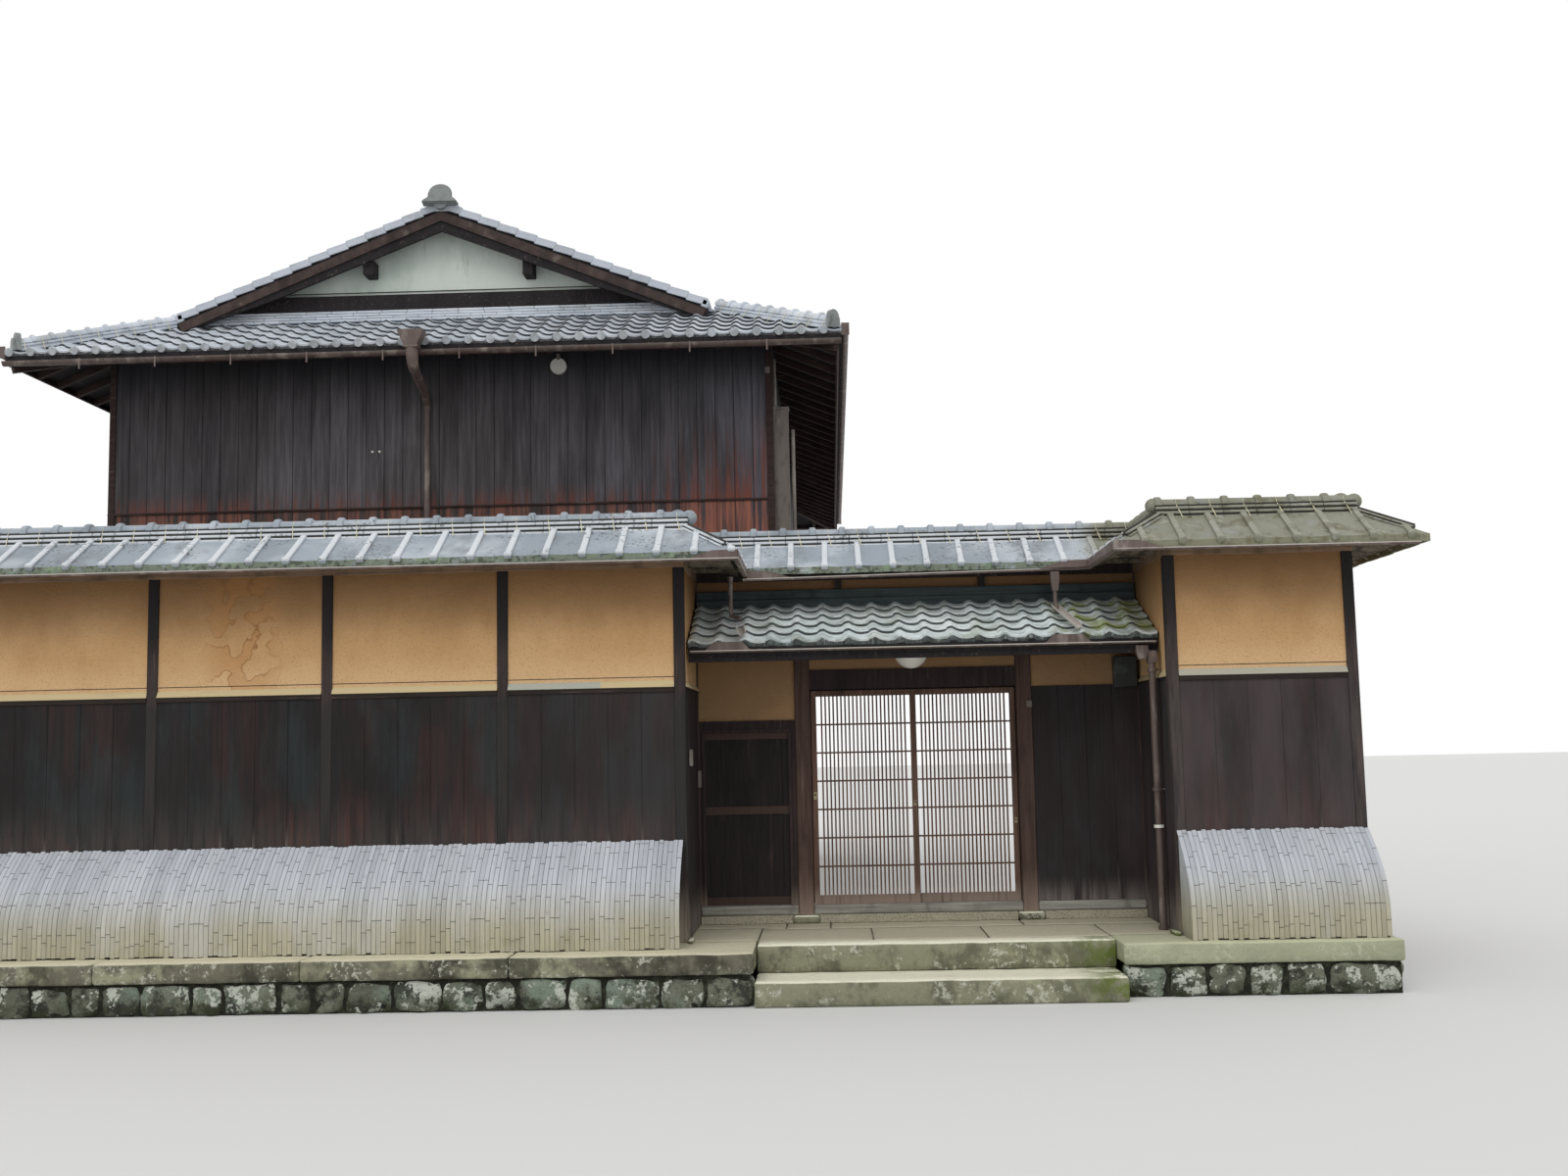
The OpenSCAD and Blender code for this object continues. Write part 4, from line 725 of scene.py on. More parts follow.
def stained_boards(name, colour, warm, foot, warm_share=0.5, pale=(158, 140, 128), pale_share=0.75):
    """Black stained boards that show red wood where the stain has gone and pale worn joints."""
    wood = Finish(name, colour, 0.8)
    wood.shade(wood.tag("tone"), 0.84, 1.16)
    grain = wood.patches(30, 0.28, 0.72, (1, 1, 0.045))
    low_down = wood.falls(*foot)
    reds = wood.overlap(wood.patches(1.5, 0.42, 0.6, (1, 1, 0.6)), wood.patches(11, 0.35, 0.62, (1, 1, 0.07)))
    wood.coat(warm, warm_share, reds, wood.reckon("ADD", wood.reckon("MULTIPLY", low_down, 0.75), 0.25))
    wood.coat((42, 52, 54), 0.5, wood.rise(*foot), wood.patches(2.4, 0.44, 0.66, (1, 1, 0.4)))
    wood.shade(grain, 0.82, 1.18)
    edges = wood.overlap(wood.seams(0.455, 0.485), wood.patches(5, 0.42, 0.6, (1, 1, 0.15)))
    wood.coat([c * 0.6 for c in colour], 0.3, edges)
    near_foot = wood.falls(foot[0] + 0.1, foot[0] + 0.5)
    wood.coat(pale, 0.7, near_foot, edges)
    wood.coat(pale, pale_share, low_down, wood.patches(18, 0.25, 0.6, (1, 1, 0.05)))
    wood.coat((18, 15, 14), 0.5, wood.patches(13, 0.6, 0.75, (1, 1, 0.1)))
    wood.coat([c * 2.0 for c in colour], 0.35, wood.rise(left_end + 3.4 * bay, recess_left, (1, 0, 0)))
    sunlit = wood.overlap(wood.rise(1.6, 2.0, (1, 0, 0)), wood.patches(3, 0.3, 0.7, (1, 1, 0.2)))
    wood.coat([c * 2.7 for c in colour], 0.6, sunlit)
    wood.relief(grain, 0.002)
    return wood.done()


dado_wood = stained_boards("dado_boards", (31, 27, 27), (78, 44, 38), (floor_z + 0.55, floor_z + 1.35), 0.9,
                           (150, 138, 130), 0.16)
board_w = 0.28
dado = blank("across")
for x0, x1 in spans + [(recess_right + post_half, right_end - post_half)]:
    planks(dado, (x0, 0.010), (1, 0), x1 - x0, floor_z, drip_z, board_w, draw)
    planks(dado, (x1, 0.080), (-1, 0), x1 - x0, floor_z, drip_z, board_w, draw)
finished("dado_planks", dado, dado_wood)
dress(dado_wood, "wall_boards")


# Walls that run back from the street, to the gate and down the right side: the same boards,
# drip, plaster and plate on both faces of a thin wall, since each is seen from outside and in.
def return_wall(x, start, end, boards, drip, infill, top):
    """One wall along Y, with its middle at x."""
    bar(boards, (x - 0.034, start, floor_z), (x + 0.034, end, drip_z), 0)
    for side, along, begin in ((1, (0, 1), start), (-1, (0, -1), end)):
        planks(boards, (x + side * 0.035, begin), along, end - start, floor_z, drip_z, 0.26, draw)
        outline = [(x + side * (post_half - y), start, z) for y, z in drip_profile]
        drawn(drip, outline, (0, end - start, 0), tone=draw.random())
    bar(infill, (x - 0.027, start, plaster_z - 0.01), (x + 0.027, end, plate_z), 0)
    bar(top, (x - post_half, start, plate_z), (x + post_half, end, plate_top), 0.004, tone=draw.random())


return_boards, return_drips, return_plaster, return_plates = blank("across"), blank(), blank(), blank()
for x, start, end in ((recess_left, 2 * post_half, gate_y), (recess_right, 2 * post_half, gate_y),
                      (right_end, 2 * post_half, return_end - 2 * post_half)):
    return_wall(x, start, end, return_boards, return_drips, return_plaster, return_plates)
bar(return_plates, (right_end - post_half, return_end - 2 * post_half, floor_z),
    (right_end + post_half, return_end, plate_top), 0.005, tone=0.4)
return_wood = stained_boards("return_boards", (30, 25, 26), (58, 38, 34), (floor_z + 0.06, floor_z + 0.40),
                             0.7, (158, 150, 142), 0.95)
finished("return_planks", return_boards, return_wood)
finished("return_drips", return_drips, drip_wood)
finished("return_plaster", return_plaster, plaster)
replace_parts(finished("return_plates", return_plates, plate_timber), "recess_walls",
            "side_wall_right")


# Gate: two heavy posts on base stones, a timber sill on a plinth of cement, boards on the
# right, and a small framed door on the left. The posts' feet are bleached by splashing rain.
gate_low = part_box("gate_posts")[0]
sill_low, sill_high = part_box("gate_sill")
post_x = 1.005
gate_half = 0.07
stone_half = 0.12
stone_top = floor_z + 0.07
sill_z = floor_z + 0.075
gate_back = gate_y + 2 * gate_half
gate_timbers = blank()
post_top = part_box("pent_roof")[1].z - 0.02
over_posts = blank()
for x in (-post_x, post_x):
    bar(gate_timbers, (x - gate_half, gate_y, stone_top), (x + gate_half, gate_back, post_top), 0.008,
        tone=draw.random())
    bar(over_posts, (x - gate_half, gate_y + 0.02, post_top), (x + gate_half, gate_back - 0.02, plate_z), 0)
finished("plaster_over_posts", over_posts, gate_plaster)
for x in (recess_left, recess_right):
    bar(gate_timbers, (x - post_half, gate_y, floor_z), (x + post_half, gate_y + 2 * post_half, plate_z),
        0.005, tone=draw.random())
upright_timber = old_timber("upright_timber", (80, 62, 56), foot=(floor_z, floor_z + 0.5),
                            worn=(148, 130, 118)).done()
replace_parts(finished("gate_uprights", gate_timbers, upright_timber), "gate_posts")
stones = blank()
for x in (-post_x, post_x):
    slab(stones, (x - stone_half, gate_low.y, floor_z), (x + stone_half, gate_back, stone_top), draw, 0.016,
         0.003)
for x0, x1, y0 in ((recess_right - 0.10, recess_right - 0.045, -0.10),
                   (recess_left + 0.045, recess_left + 0.09, -0.08)):
    slab(stones, (x0, y0, floor_z), (x1, 0.13, floor_z + 0.03), draw, 0.01, 0.002)
finished("gate_base_stones", stones, step_stone.material, crisp=60)

plinth = blank()
sill = blank()
for x0, x1, s0, s1 in ((sill_low.x, -post_x - stone_half, sill_low.x, -post_x - gate_half),
                       (stone_half - post_x, post_x - stone_half, gate_half - post_x, post_x - gate_half),
                       (post_x + stone_half, sill_high.x, post_x + gate_half, sill_high.x)):
    bar(plinth, (x0, sill_low.y, floor_z), (x1, gate_back, sill_z), 0.006, tone=draw.random())
    bar(sill, (s0, sill_low.y + 0.02, sill_z), (s1, gate_back, sill_high.z), 0.012, tone=draw.random())
cement = Finish("plinth_cement", (176, 170, 150), 0.95)
cement.coat((92, 88, 76), 0.7, cement.patches(70, 0.5, 0.62))
cement.coat((196, 190, 172), 0.4, cement.patches(5, 0.5, 0.7))
cement.relief(cement.patches(90, 0.3, 0.7), 0.002)
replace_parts(finished("gate_plinth", plinth, cement.done()), "gate_sill")
sill_wood = old_timber("sill_timber", (142, 140, 132), along=(0.05, 1, 1), worn=(184, 180, 168)).done()
finished("gate_sill_timber", sill, sill_wood)

fence_low, fence_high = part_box("gate_boards")
fence = blank("across")
fence_length, fence_board = fence_high.x - fence_low.x, 0.24
for corner, way in ((fence_low, 1), (fence_high, -1)):
    planks(fence, corner.xy, (way, 0), fence_length, fence_low.z, fence_high.z, fence_board, draw)
finished("gate_planks", fence, return_wood)
dress(return_wood, "gate_boards")
door_low, door_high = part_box("side_door")
door_stain = old_timber("side_door_timber", (40, 33, 34), worn=(96, 80, 72))
door_rail, mid_rail = 0.07, door_low.z + 0.52 * (door_high.z - door_low.z)
for z in (door_low.z, mid_rail, door_high.z - door_rail):
    rail = door_stain.overlap(door_stain.rise(z - 0.001, z + 0.001),
                              door_stain.falls(z + door_rail - 0.001, z + door_rail + 0.001))
    door_stain.coat((76, 60, 54), 0.8, rail)
door_stain.coat((132, 118, 108), 0.6, door_stain.upward(0.6, 0.9))
dress(door_stain.done(), "side_door")


# Stops of the side door: thin strips nailed round its frame on the street side, which cover
# the joint between frame and leaf.
door_stops = blank()
stop_y = door_low.y - 0.008
made = bar(door_stops, (door_low.x - 0.012, stop_y - 0.014, door_high.z - 0.012),
           (door_high.x + 0.012, stop_y, door_high.z + 0.02), 0.002)
for x in (door_low.x, door_high.x):
    made += bar(door_stops, (x - 0.014, stop_y - 0.014, door_low.z), (x + 0.014, stop_y, door_high.z - 0.012),
                0.002)
marked(door_stops, made, tone=0.4)
finished("side_door_stops", door_stops, timber)


# Sliding doors: square cedar lattice, each bar halved over the cross rails, brown and worn
# pale along the bottom rail. Each runs on its own rail of the sill.
lattice = old_timber("lattice_timber", (108, 84, 72), foot=(sill_high.z, sill_high.z + 0.2)).done()
dress(lattice, "lattice_door_left", "lattice_door_right")


def disc(shape, middle, back, front, depth, sides, way=-1, **marks):
    """A round plate that looks along Y, its front face a little smaller than its back."""
    turn = Matrix.Translation(middle) @ Matrix.Rotation(-way * math.pi / 2, 4, "X")
    made = bmesh.ops.create_cone(shape, cap_ends=True, segments=sides, radius1=back, radius2=front,
                                 depth=depth, matrix=turn)["verts"]
    marked(shape, made, **marks)


def plate_and_pull(name, x, y, z, body, wide=0.032, tall=0.07):
    """A small metal plate let into a door's stile, with a dished finger pull or a keyhole in it."""
    shape = blank()
    bar(shape, (x - wide / 2, y - 0.0025, z - tall / 2), (x + wide / 2, y + 0.004, z + tall / 2), 0.002)
    disc(shape, (x, y - 0.0035, z + tall * 0.12), wide * 0.33, wide * 0.28, 0.004, 16, tone=1)
    return finished(name, shape, fitting_metal, body)


metal = Finish("door_fittings", (152, 140, 110), 0.45, metallic=0.7)
metal.coat((60, 54, 44), 0.9, metal.tag("tone"))
metal.coat((84, 74, 58), 0.6, metal.patches(60, 0.5, 0.65))
fitting_metal = metal.done()
left_leaf, right_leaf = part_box("lattice_door_left"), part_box("lattice_door_right")

# Strips behind the leaves close the gap at the head and at the posts
stops = blank()
leaf_back = max(left_leaf[1].y, right_leaf[1].y) + 0.010
leaf_top = max(left_leaf[1].z, right_leaf[1].z)
made = bar(stops, (gate_half - post_x, leaf_back, leaf_top - 0.03),
           (post_x - gate_half, leaf_back + 0.02, leaf_top + 0.06), 0.002)
for side in (-1, 1):
    made += bar(stops, (side * (post_x - gate_half), leaf_back, sill_high.z),
                (side * (post_x - gate_half - 0.025), leaf_back + 0.02, leaf_top + 0.05), 0.002)
marked(stops, made, tone=0.5)
finished("lattice_stops", stops, timber)
stile_mid = 0.024
lock_z, left_pull_z, right_pull_z = 1.54, 1.46, 1.285
plate_and_pull("left_leaf_lock", left_leaf[0].x + stile_mid, left_leaf[0].y, lock_z, "left_leaf")
for name, (low, high), z, body in (("left_leaf_pull", left_leaf, left_pull_z, "left_leaf"),
                                   ("right_leaf_pull", right_leaf, right_pull_z, "right_leaf")):
    plate_and_pull(name, high.x - stile_mid, low.y, z, body, 0.028, 0.05)


# Bamboo guards: split bamboo nailed to curved battens, a hand's width from touching, that
# keep splashing rain off the boards. The old canes are silver on top and tan at the foot.
def bend(share, start, near, far, end):
    """A point on the curve that the battens are cut to."""
    rest = 1 - share
    return rest ** 3 * start + 3 * rest ** 2 * share * near + 3 * rest * share ** 2 * far + share ** 3 * end


guard_low, guard_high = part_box("bamboo_guard_left")
right_guard_low, right_guard_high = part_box("bamboo_guard_right")
guard_out, guard_h = -guard_low.y, guard_high.z - floor_z
foot_share = 0.25
slat_pitch, slat_w, slat_t = 0.0395, 0.0368, 0.011


def guard_place(share):
    """Depth and height on the guard's outer face, from its top at 0 to its foot at 2."""
    if share > 1:
        return -guard_out, floor_z + foot_share * guard_h * (2 - share)
    return (bend(share, 0, -0.45 * guard_out, -guard_out, -guard_out),
            floor_z + guard_h * bend(share, 1, 0.8, 0.58, foot_share))


def slat(first_knot, knot_gap, start, end):
    """A split cane bent over the guard, with its knots raised."""
    shape = blank("knot")
    walk = [guard_place(2 * step / 400) for step in range(401)]
    lengths = [0.0]
    for here, there in zip(walk, walk[1:]):
        lengths.append(lengths[-1] + math.dist(here, there))
    whole = lengths[-1]
    knots = [first_knot + knot_gap * number for number in range(5)]
    knots = [at for at in knots if start + 0.03 < at < whole - end - 0.03]
    stops = {round(start + (whole - end - start) * number / 13, 3): 0.0 for number in range(14)}
    for at in knots:
        stops = {stop: mark for stop, mark in stops.items() if abs(stop - at) > 0.02}
        stops.update({at - 0.006: 0.0, at: 1.0, at + 0.006: 0.0})
    section = [(-0.5, -0.5), (-0.5, 0.2), (-0.36, 0.42), (0, 0.5), (0.36, 0.42), (0.5, 0.2), (0.5, -0.5)]
    rings = []
    for stop in sorted(stops):
        spot = min(np.searchsorted(lengths, stop), 400)
        before, after = walk[max(spot - 3, 0)], walk[min(spot + 3, 400)]
        run = Vector((0, after[0] - before[0], after[1] - before[1])).normalized()
        out = Vector((0, run.z, -run.y))
        swell = 1.0 + 0.10 * stops[stop]
        base = Vector((0, *walk[spot])) - out * slat_t * 0.5
        ring = [shape.verts.new(base + Vector((x * slat_w * (0.94 + 0.05 * swell), 0, 0))
                                + out * (t * slat_t * swell)) for x, t in section]
        marked(shape, ring, knot=stops[stop])
        rings.append(ring)
    for one, other in zip(rings, rings[1:]):
        for number in range(len(section)):
            follow = (number + 1) % len(section)
            shape.faces.new((one[number], one[follow], other[follow], other[number]))
    shape.faces.new(rings[0])
    shape.faces.new(rings[-1])
    return shape


kinds = 9
run_of_slats = {kind: [] for kind in range(kinds)}
for low, high in ((guard_low, guard_high), (right_guard_low, right_guard_high)):
    count = int((high.x - low.x) / slat_pitch)
    for number in range(count):
        x = low.x + (number + 0.5) * (high.x - low.x) / count
        lean = Matrix.Rotation(draw.uniform(-0.0007, 0.0007), 4, "Y")
        lift = Matrix.Translation((x, draw.uniform(-0.0009, 0.0009), 0))
        run_of_slats[draw.randrange(kinds)].append(lift @ lean)
fans = [laid(slat(0.05 + 0.034 * kind, draw.uniform(0.25, 0.36), draw.uniform(0, 0.03),
                  draw.uniform(0, 0.025)),
             run_of_slats[kind], seed=kind) for kind in range(kinds)]
guards = joined(*fans)
for x, tall in ((guard_low.x + 0.012, 1), (right_guard_low.x + 0.012, 1), (right_guard_high.x - 0.012, 1)):
    for number in range(11):
        depth = -guard_out + 0.036 + number * 0.035
        share = next(step / 100 for step in range(101, 0, -1) if guard_place(step / 100)[0] >= depth - 0.001
                     or step == 1)
        top = guard_place(min(share, 1))[1] - 0.03
        bar(guards, (x - 0.006, depth - 0.016, floor_z), (x + 0.006, depth + 0.016, top), 0.003,
            tone=draw.random(), knot=0)
battens = []
for low, high in ((guard_low, guard_high), (right_guard_low, right_guard_high)):
    for share in (0.12, 0.55, 1.0, 1.7):
        y, z = guard_place(share)
        battens.append(((low.x + 0.03, y + 0.016, z - 0.028), (high.x - 0.03, y + 0.032, z - 0.004)))
for low, high in battens:
    bar(guards, low, high, 0.003, tone=0.3, knot=0)
cane = Finish("split_bamboo", (182, 188, 198), 0.6)
cane.coat((206, 206, 198), 0.15, cane.rise(floor_z + 0.25, floor_z + 0.5))
cane.coat((176, 170, 146), 0.95, cane.falls(floor_z + 0.12, floor_z + 0.62))
cane.shade(cane.tag("tone"), 0.90, 1.10)
cane.coat((214, 216, 220), 0.35, cane.patches(2.0, 0.45, 0.7, (1, 0.4, 0.4)))
streaks = cane.patches(60, 0.35, 0.7, (1, 0.05, 0.05))
cane.shade(streaks, 0.92, 1.06)
cane.coat((78, 74, 64), 0.85, cane.between(cane.tag("knot"), 0.2, 0.7))
cane.coat((120, 112, 96), 0.35, cane.patches(14, 0.62, 0.75))
cane.coat((138, 138, 100), 0.6, cane.patches(2.5, 0.5, 0.7), cane.falls(floor_z, floor_z + 0.45))
cane.relief(streaks, 0.001)
guard_piece = finished("bamboo_slats", guards, cane.done(), crisp=50)
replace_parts(guard_piece, "bamboo_guard_left", "bamboo_guard_right")


# Copings: a single course of broad flat tiles down each side of every wall, bedded in clay,
# with a square rib over each joint whose front block hangs over the lip. They meet in mitres
# at the corners. Sun has bleached them, the ribs' tops carry a painted highlight, and the
# right-hand run is brown with moss.
def slope_frame(edge, outward, rise_per_run):
    """The frame of a tiled slope: x along its eave, y up the slope and z out of it."""
    up = Vector((-outward[0], -outward[1], rise_per_run)).normalized()
    along = Vector((-outward[1], outward[0], 0))
    frame_axes = Matrix((along, up, along.cross(up))).transposed().to_4x4()
    return Matrix.Translation(edge) @ frame_axes


def cut(shape, point, away):
    """Cuts off what lies beyond a plane, on the side that the vector points to, and closes the cut."""
    parts = [*shape.verts, *shape.edges, *shape.faces]
    made = bmesh.ops.bisect_plane(shape, geom=parts, plane_co=point, plane_no=away, clear_outer=True)
    rim = only(bmesh.types.BMEdge, made["geom_cut"])
    if rim:
        bmesh.ops.holes_fill(shape, edges=rim, sides=0)


coping_low, coping_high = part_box("coping_left")
coping_half = left_end - coping_low.x
coping_rise = 0.6
coping_t = 0.04
eave_edge_z = coping_low.z + coping_t
wall_mid, gate_mid = post_half, gate_y + post_half
party_end = coping_high.y
coping_path = [Vector(point) for point in (
    (left_end, party_end), (left_end, wall_mid), (recess_left, wall_mid), (recess_left, gate_mid),
    (recess_right, gate_mid), (recess_right, wall_mid), (right_end, wall_mid), (right_end, return_end))]
coping_pitch = 0.302
pan_t, lip_h = 0.018, 0.058
slope_angle = math.atan(coping_rise)
tile_over = 0.068
pan_length = (coping_half + tile_over - 0.06) / math.cos(slope_angle)
hang = Vector((0, -math.sin(slope_angle), -math.cos(slope_angle)))


def coping_tile():
    """A flat pan with a hanging lip, and the rib over the joint at its left."""
    shape = blank("lip", "recess")
    made = bmesh.ops.create_grid(shape, x_segments=4, y_segments=3, size=0.5)["verts"]
    for vert in made:
        dish = 0.007 * (2 * vert.co.x) ** 2
        vert.co = Vector((vert.co.x * (coping_pitch - 0.003), (vert.co.y + 0.5) * pan_length, pan_t + dish))
    marked(shape, made, lip=lambda co: 1 if co.y < 0.001 else 0)
    front = [edge for edge in shape.edges if all(vert.co.y < 0.001 for vert in edge.verts)]
    lip = only(bmesh.types.BMVert, bmesh.ops.extrude_edge_only(shape, edges=front)["geom"])
    bmesh.ops.translate(shape, verts=lip, vec=hang * lip_h)
    for vert in lip:
        vert.co += hang * (pan_t - 0.002 - vert.co.z - lip_h * math.cos(slope_angle)) * -0.4
    bmesh.ops.solidify(shape, geom=shape.faces[:], thickness=0.014)
    x = -coping_pitch / 2
    # The tops of the rib and its front block take lip -1, which the finish paints as a highlight.
    bar(shape, (x - 0.026, 0.012, 0.012), (x + 0.026, pan_length, pan_t + 0.028), 0.006,
        lip=lambda co: -1 if co.z > pan_t + 0.01 else 0)
    bar(shape, (x - 0.031, -0.024, -0.018), (x + 0.031, 0.028, pan_t + 0.034), 0.007,
        lip=lambda co: -1 if co.z > pan_t + 0.02 else 1)
    return shape


def coping_side(start, end, side, before, after):
    """The tiles on one side of a wall between two points, mitred into the walls before and after."""
    way = (end - start).normalized()
    outward = Vector((way.y, -way.x)) * side
    along = way * side
    begin = start if side > 0 else end
    edge = begin + outward * (coping_half + tile_over) - along * coping_half
    place = slope_frame((*edge, eave_edge_z + 0.008 - tile_over * coping_rise), outward, coping_rise)
    count = math.ceil(((end - start).length + 2 * coping_half) / coping_pitch) + 1
    places = []
    for number in range(count):
        twist = Matrix.Rotation(draw.uniform(-0.012, 0.012), 4, "Z")
        wobble = twist @ Matrix.Rotation(draw.uniform(-0.01, 0.01), 4, "X")
        spot = Matrix.Translation((number * coping_pitch, draw.uniform(-0.004, 0.004), 0))
        places.append(place @ spot @ wobble)
    shape = laid(coping_tile(), places, seed=count)
    cut(shape, (*start, 0), (*-(before + way), 0))
    cut(shape, (*end, 0), (*(after + way), 0))
    return shape


sides = []
legs = list(zip(coping_path, coping_path[1:]))
ways = [(end - start).normalized() for start, end in legs]
for number, (start, end) in enumerate(legs):
    before = ways[number - 1] if number else ways[0]
    after = ways[number + 1] if number + 1 < len(legs) else ways[-1]
    for side in (1, -1):
        sides.append(coping_side(start, end, side, before, after))
tile = Finish("coping_tiles", (150, 159, 168), 0.55)
tile.shade(tile.tag("tone"), 0.86, 1.1)
tile.coat((210, 216, 222), 0.5, tile.patches(1.6, 0.42, 0.65))
tile.coat((118, 124, 128), 0.6, tile.patches(2.2, 0.52, 0.68, (1, 0.5, 1)))
# Painted highlight: the tops of the ribs, tagged lip -1, are nearly white. The same pale coat lies on the
# edges of the ridge's flat courses, tagged -0.7.
tile.coat((226, 230, 234), 0.75, tile.between(tile.tag("lip"), -0.3, -0.7))
specks = tile.overlap(tile.patches(2.6, 0.5, 0.6), tile.patches(34, 0.52, 0.62))
tile.coat((96, 102, 104), 0.8, specks)
drop_face = tile.overlap(tile.between(tile.tag("lip"), 0.2, 0.6), tile.outside(tile.upward(0.1, 0.5)))
tile.coat((112, 122, 102), 0.9, drop_face, tile.patches(8, 0.2, 0.5))
tile.coat((48, 52, 44), 0.7, drop_face, tile.patches(22, 0.5, 0.62))
tile.coat((150, 180, 140), 0.5, drop_face, tile.patches(6, 0.55, 0.7))
right_run = tile.rise(1.45, 1.75, (1, 0, 0))
tile.coat((132, 130, 108), 0.85, right_run, tile.patches(4, 0.1, 0.5))
tile.coat((98, 92, 66), 0.65, right_run, tile.patches(7, 0.5, 0.65))
tile.coat((172, 172, 158), 0.6, right_run, tile.patches(9, 0.6, 0.7))
tile.coat((58, 62, 54), 0.5, tile.patches(20, 0.66, 0.74))
# Painted shade: the recesses between the ridge's courses are made near black.
tile.coat((46, 44, 38), 0.95, tile.between(tile.tag("recess"), 0.3, 0.6))
tile.relief(tile.patches(60, 0.3, 0.7), 0.0015)
coping_finish = tile.done()
finished("coping_tiles", joined(*sides), coping_finish)
bedding = Finish("clay_bedding", (120, 112, 98), 0.97)
bedding.coat((70, 64, 56), 1.0, bedding.patches(12, 0.4, 0.65))
bedding.relief(bedding.patches(50, 0.3, 0.7), 0.003)
dress(bedding.done(), "coping_left", "coping_right", "coping_gate")


# Ridges of the copings: four courses of flat tiles with recesses between them, painted dark
# as shade, and a row of round tiles with raised collars, each tied down with a copper wire.
def line_places(start, end, each):
    """Places of pieces laid end to end from one point to another, each as long as it needs."""
    start, end = Vector(start), Vector(end)
    run = (end - start).normalized()
    side = Vector((0, 0, 1)).cross(run).normalized()
    count = max(1, round((end - start).length / each))
    step = (end - start) / count
    turned = Matrix((run, side, run.cross(side))).transposed().to_4x4()
    stretch = Matrix.Diagonal((step.length / each, 1, 1, 1))
    return [Matrix.Translation(start + step * (number + 0.5)) @ turned
            @ Matrix.Rotation(draw.uniform(-0.006, 0.006), 4, "Z") @ stretch for number in range(count)]


def flat_course(width, height, each):
    shape = blank("lip", "recess")
    bar(shape, (-each / 2 + 0.002, -width / 2, 0), (each / 2 - 0.002, width / 2, height * 0.52), 0.005,
        lip=lambda co: -0.7 if abs(co.y) > width / 2 - 0.008 else 0)
    # The inset core between the courses is tagged as a recess, for painted shade.
    bar(shape, (-each / 2, -width / 2 + 0.03, 0), (each / 2, width / 2 - 0.03, height), 0, recess=1)
    return shape


def round_tile(radius, each, steps=9):
    """A half-round ridge tile with a collar at one end."""
    shape = blank()
    outline = ((-0.5, 1.0), (-0.47, 1.3), (-0.43, 1.36), (-0.33, 1.36), (-0.29, 1.3), (-0.26, 1.0),
               (0.5, 0.97))
    points = [shape.verts.new((x * each, reach * radius, 0)) for x, reach in outline]
    edges = [shape.edges.new(pair) for pair in zip(points, points[1:])]
    bmesh.ops.spin(shape, geom=points + edges, cent=(0, 0, 0), axis=(1, 0, 0), angle=math.pi, steps=steps)
    bmesh.ops.recalc_face_normals(shape, faces=shape.faces)
    bmesh.ops.solidify(shape, geom=shape.faces[:], thickness=0.010)
    return shape


def tie(radius):
    """A wire pulled tight over the collar of a round tile and down past the courses."""
    shape = blank()
    turn = Matrix.Translation((0.04, radius, 0)) @ Matrix.Rotation(math.pi / 2, 4, "X")
    made = bmesh.ops.create_circle(shape, segments=5, radius=0.0018, matrix=turn)
    bmesh.ops.spin(shape, geom=made["verts"] + shape.edges[:], cent=(0, 0, 0), axis=(1, 0, 0), angle=math.pi,
                   steps=9)
    section = ((0.037, 0.006), (0.043, 0.006), (0.043, 0), (0.037, 0))
    for side in (-1, 1):
        outline = [(x, side * (radius + 0.003), z) for x, z in section]
        drawn(shape, outline, (0.03, side * 0.088, -0.120))
    return shape


def raised(places, height):
    return [place @ Matrix.Translation((0, 0, height)) for place in places]


def ridge(lines, widths, course, radius, each=0.3, round_each=0.275):
    """Courses of flat tiles and a row of round tiles along lines, and the wires that tie them."""
    flats = [place for line in lines for place in line_places(*line, each)]
    rounds = [place for line in lines for place in line_places(*line, round_each)]
    shapes = [laid(flat_course(width, course, each), raised(flats, number * course), number + 3)
              for number, width in enumerate(widths)]
    crown = len(widths) * course - 0.004
    shapes.append(laid(round_tile(radius, round_each), raised(rounds, crown), 31))
    return joined(*shapes), laid(tie(radius * 1.02), raised(rounds, crown))


ridge_seat_z = 3.752
ridge_course = 0.042
ridge_over = 0.095
ridge_r = 0.058
street_legs = (1, 5)
lines = []
for number, (start, end) in enumerate(legs):
    over = ways[number] * (ridge_over if number in street_legs else 0)
    lines.append(((*(start - over), ridge_seat_z), (*(end + over), ridge_seat_z)))
crests, ties = ridge(lines, (0.285, 0.255, 0.225, 0.195), ridge_course, ridge_r)
hips = []
hip_reach = coping_half - 0.02
peak_z = coping_high.z + 0.012
for x, y, sx, sy in ((left_end, wall_mid, -1, -1), (recess_left, wall_mid, 1, -1),
                     (recess_left, gate_mid, -1, 1), (recess_right, wall_mid, -1, -1),
                     (recess_right, gate_mid, 1, 1), (right_end, wall_mid, 1, -1)):
    hips.append(((x + sx * 0.05, y + sy * 0.05, peak_z - 0.05 * coping_rise),
                 (x + sx * hip_reach, y + sy * hip_reach, peak_z - hip_reach * coping_rise)))
hip_pieces = [place for line in hips for place in line_places(*line, 0.2)]
strips = [laid(flat_course(width, 0.03, 0.2), raised(hip_pieces, level), 7)
          for width, level in ((0.105, 0.0), (0.075, 0.026))]
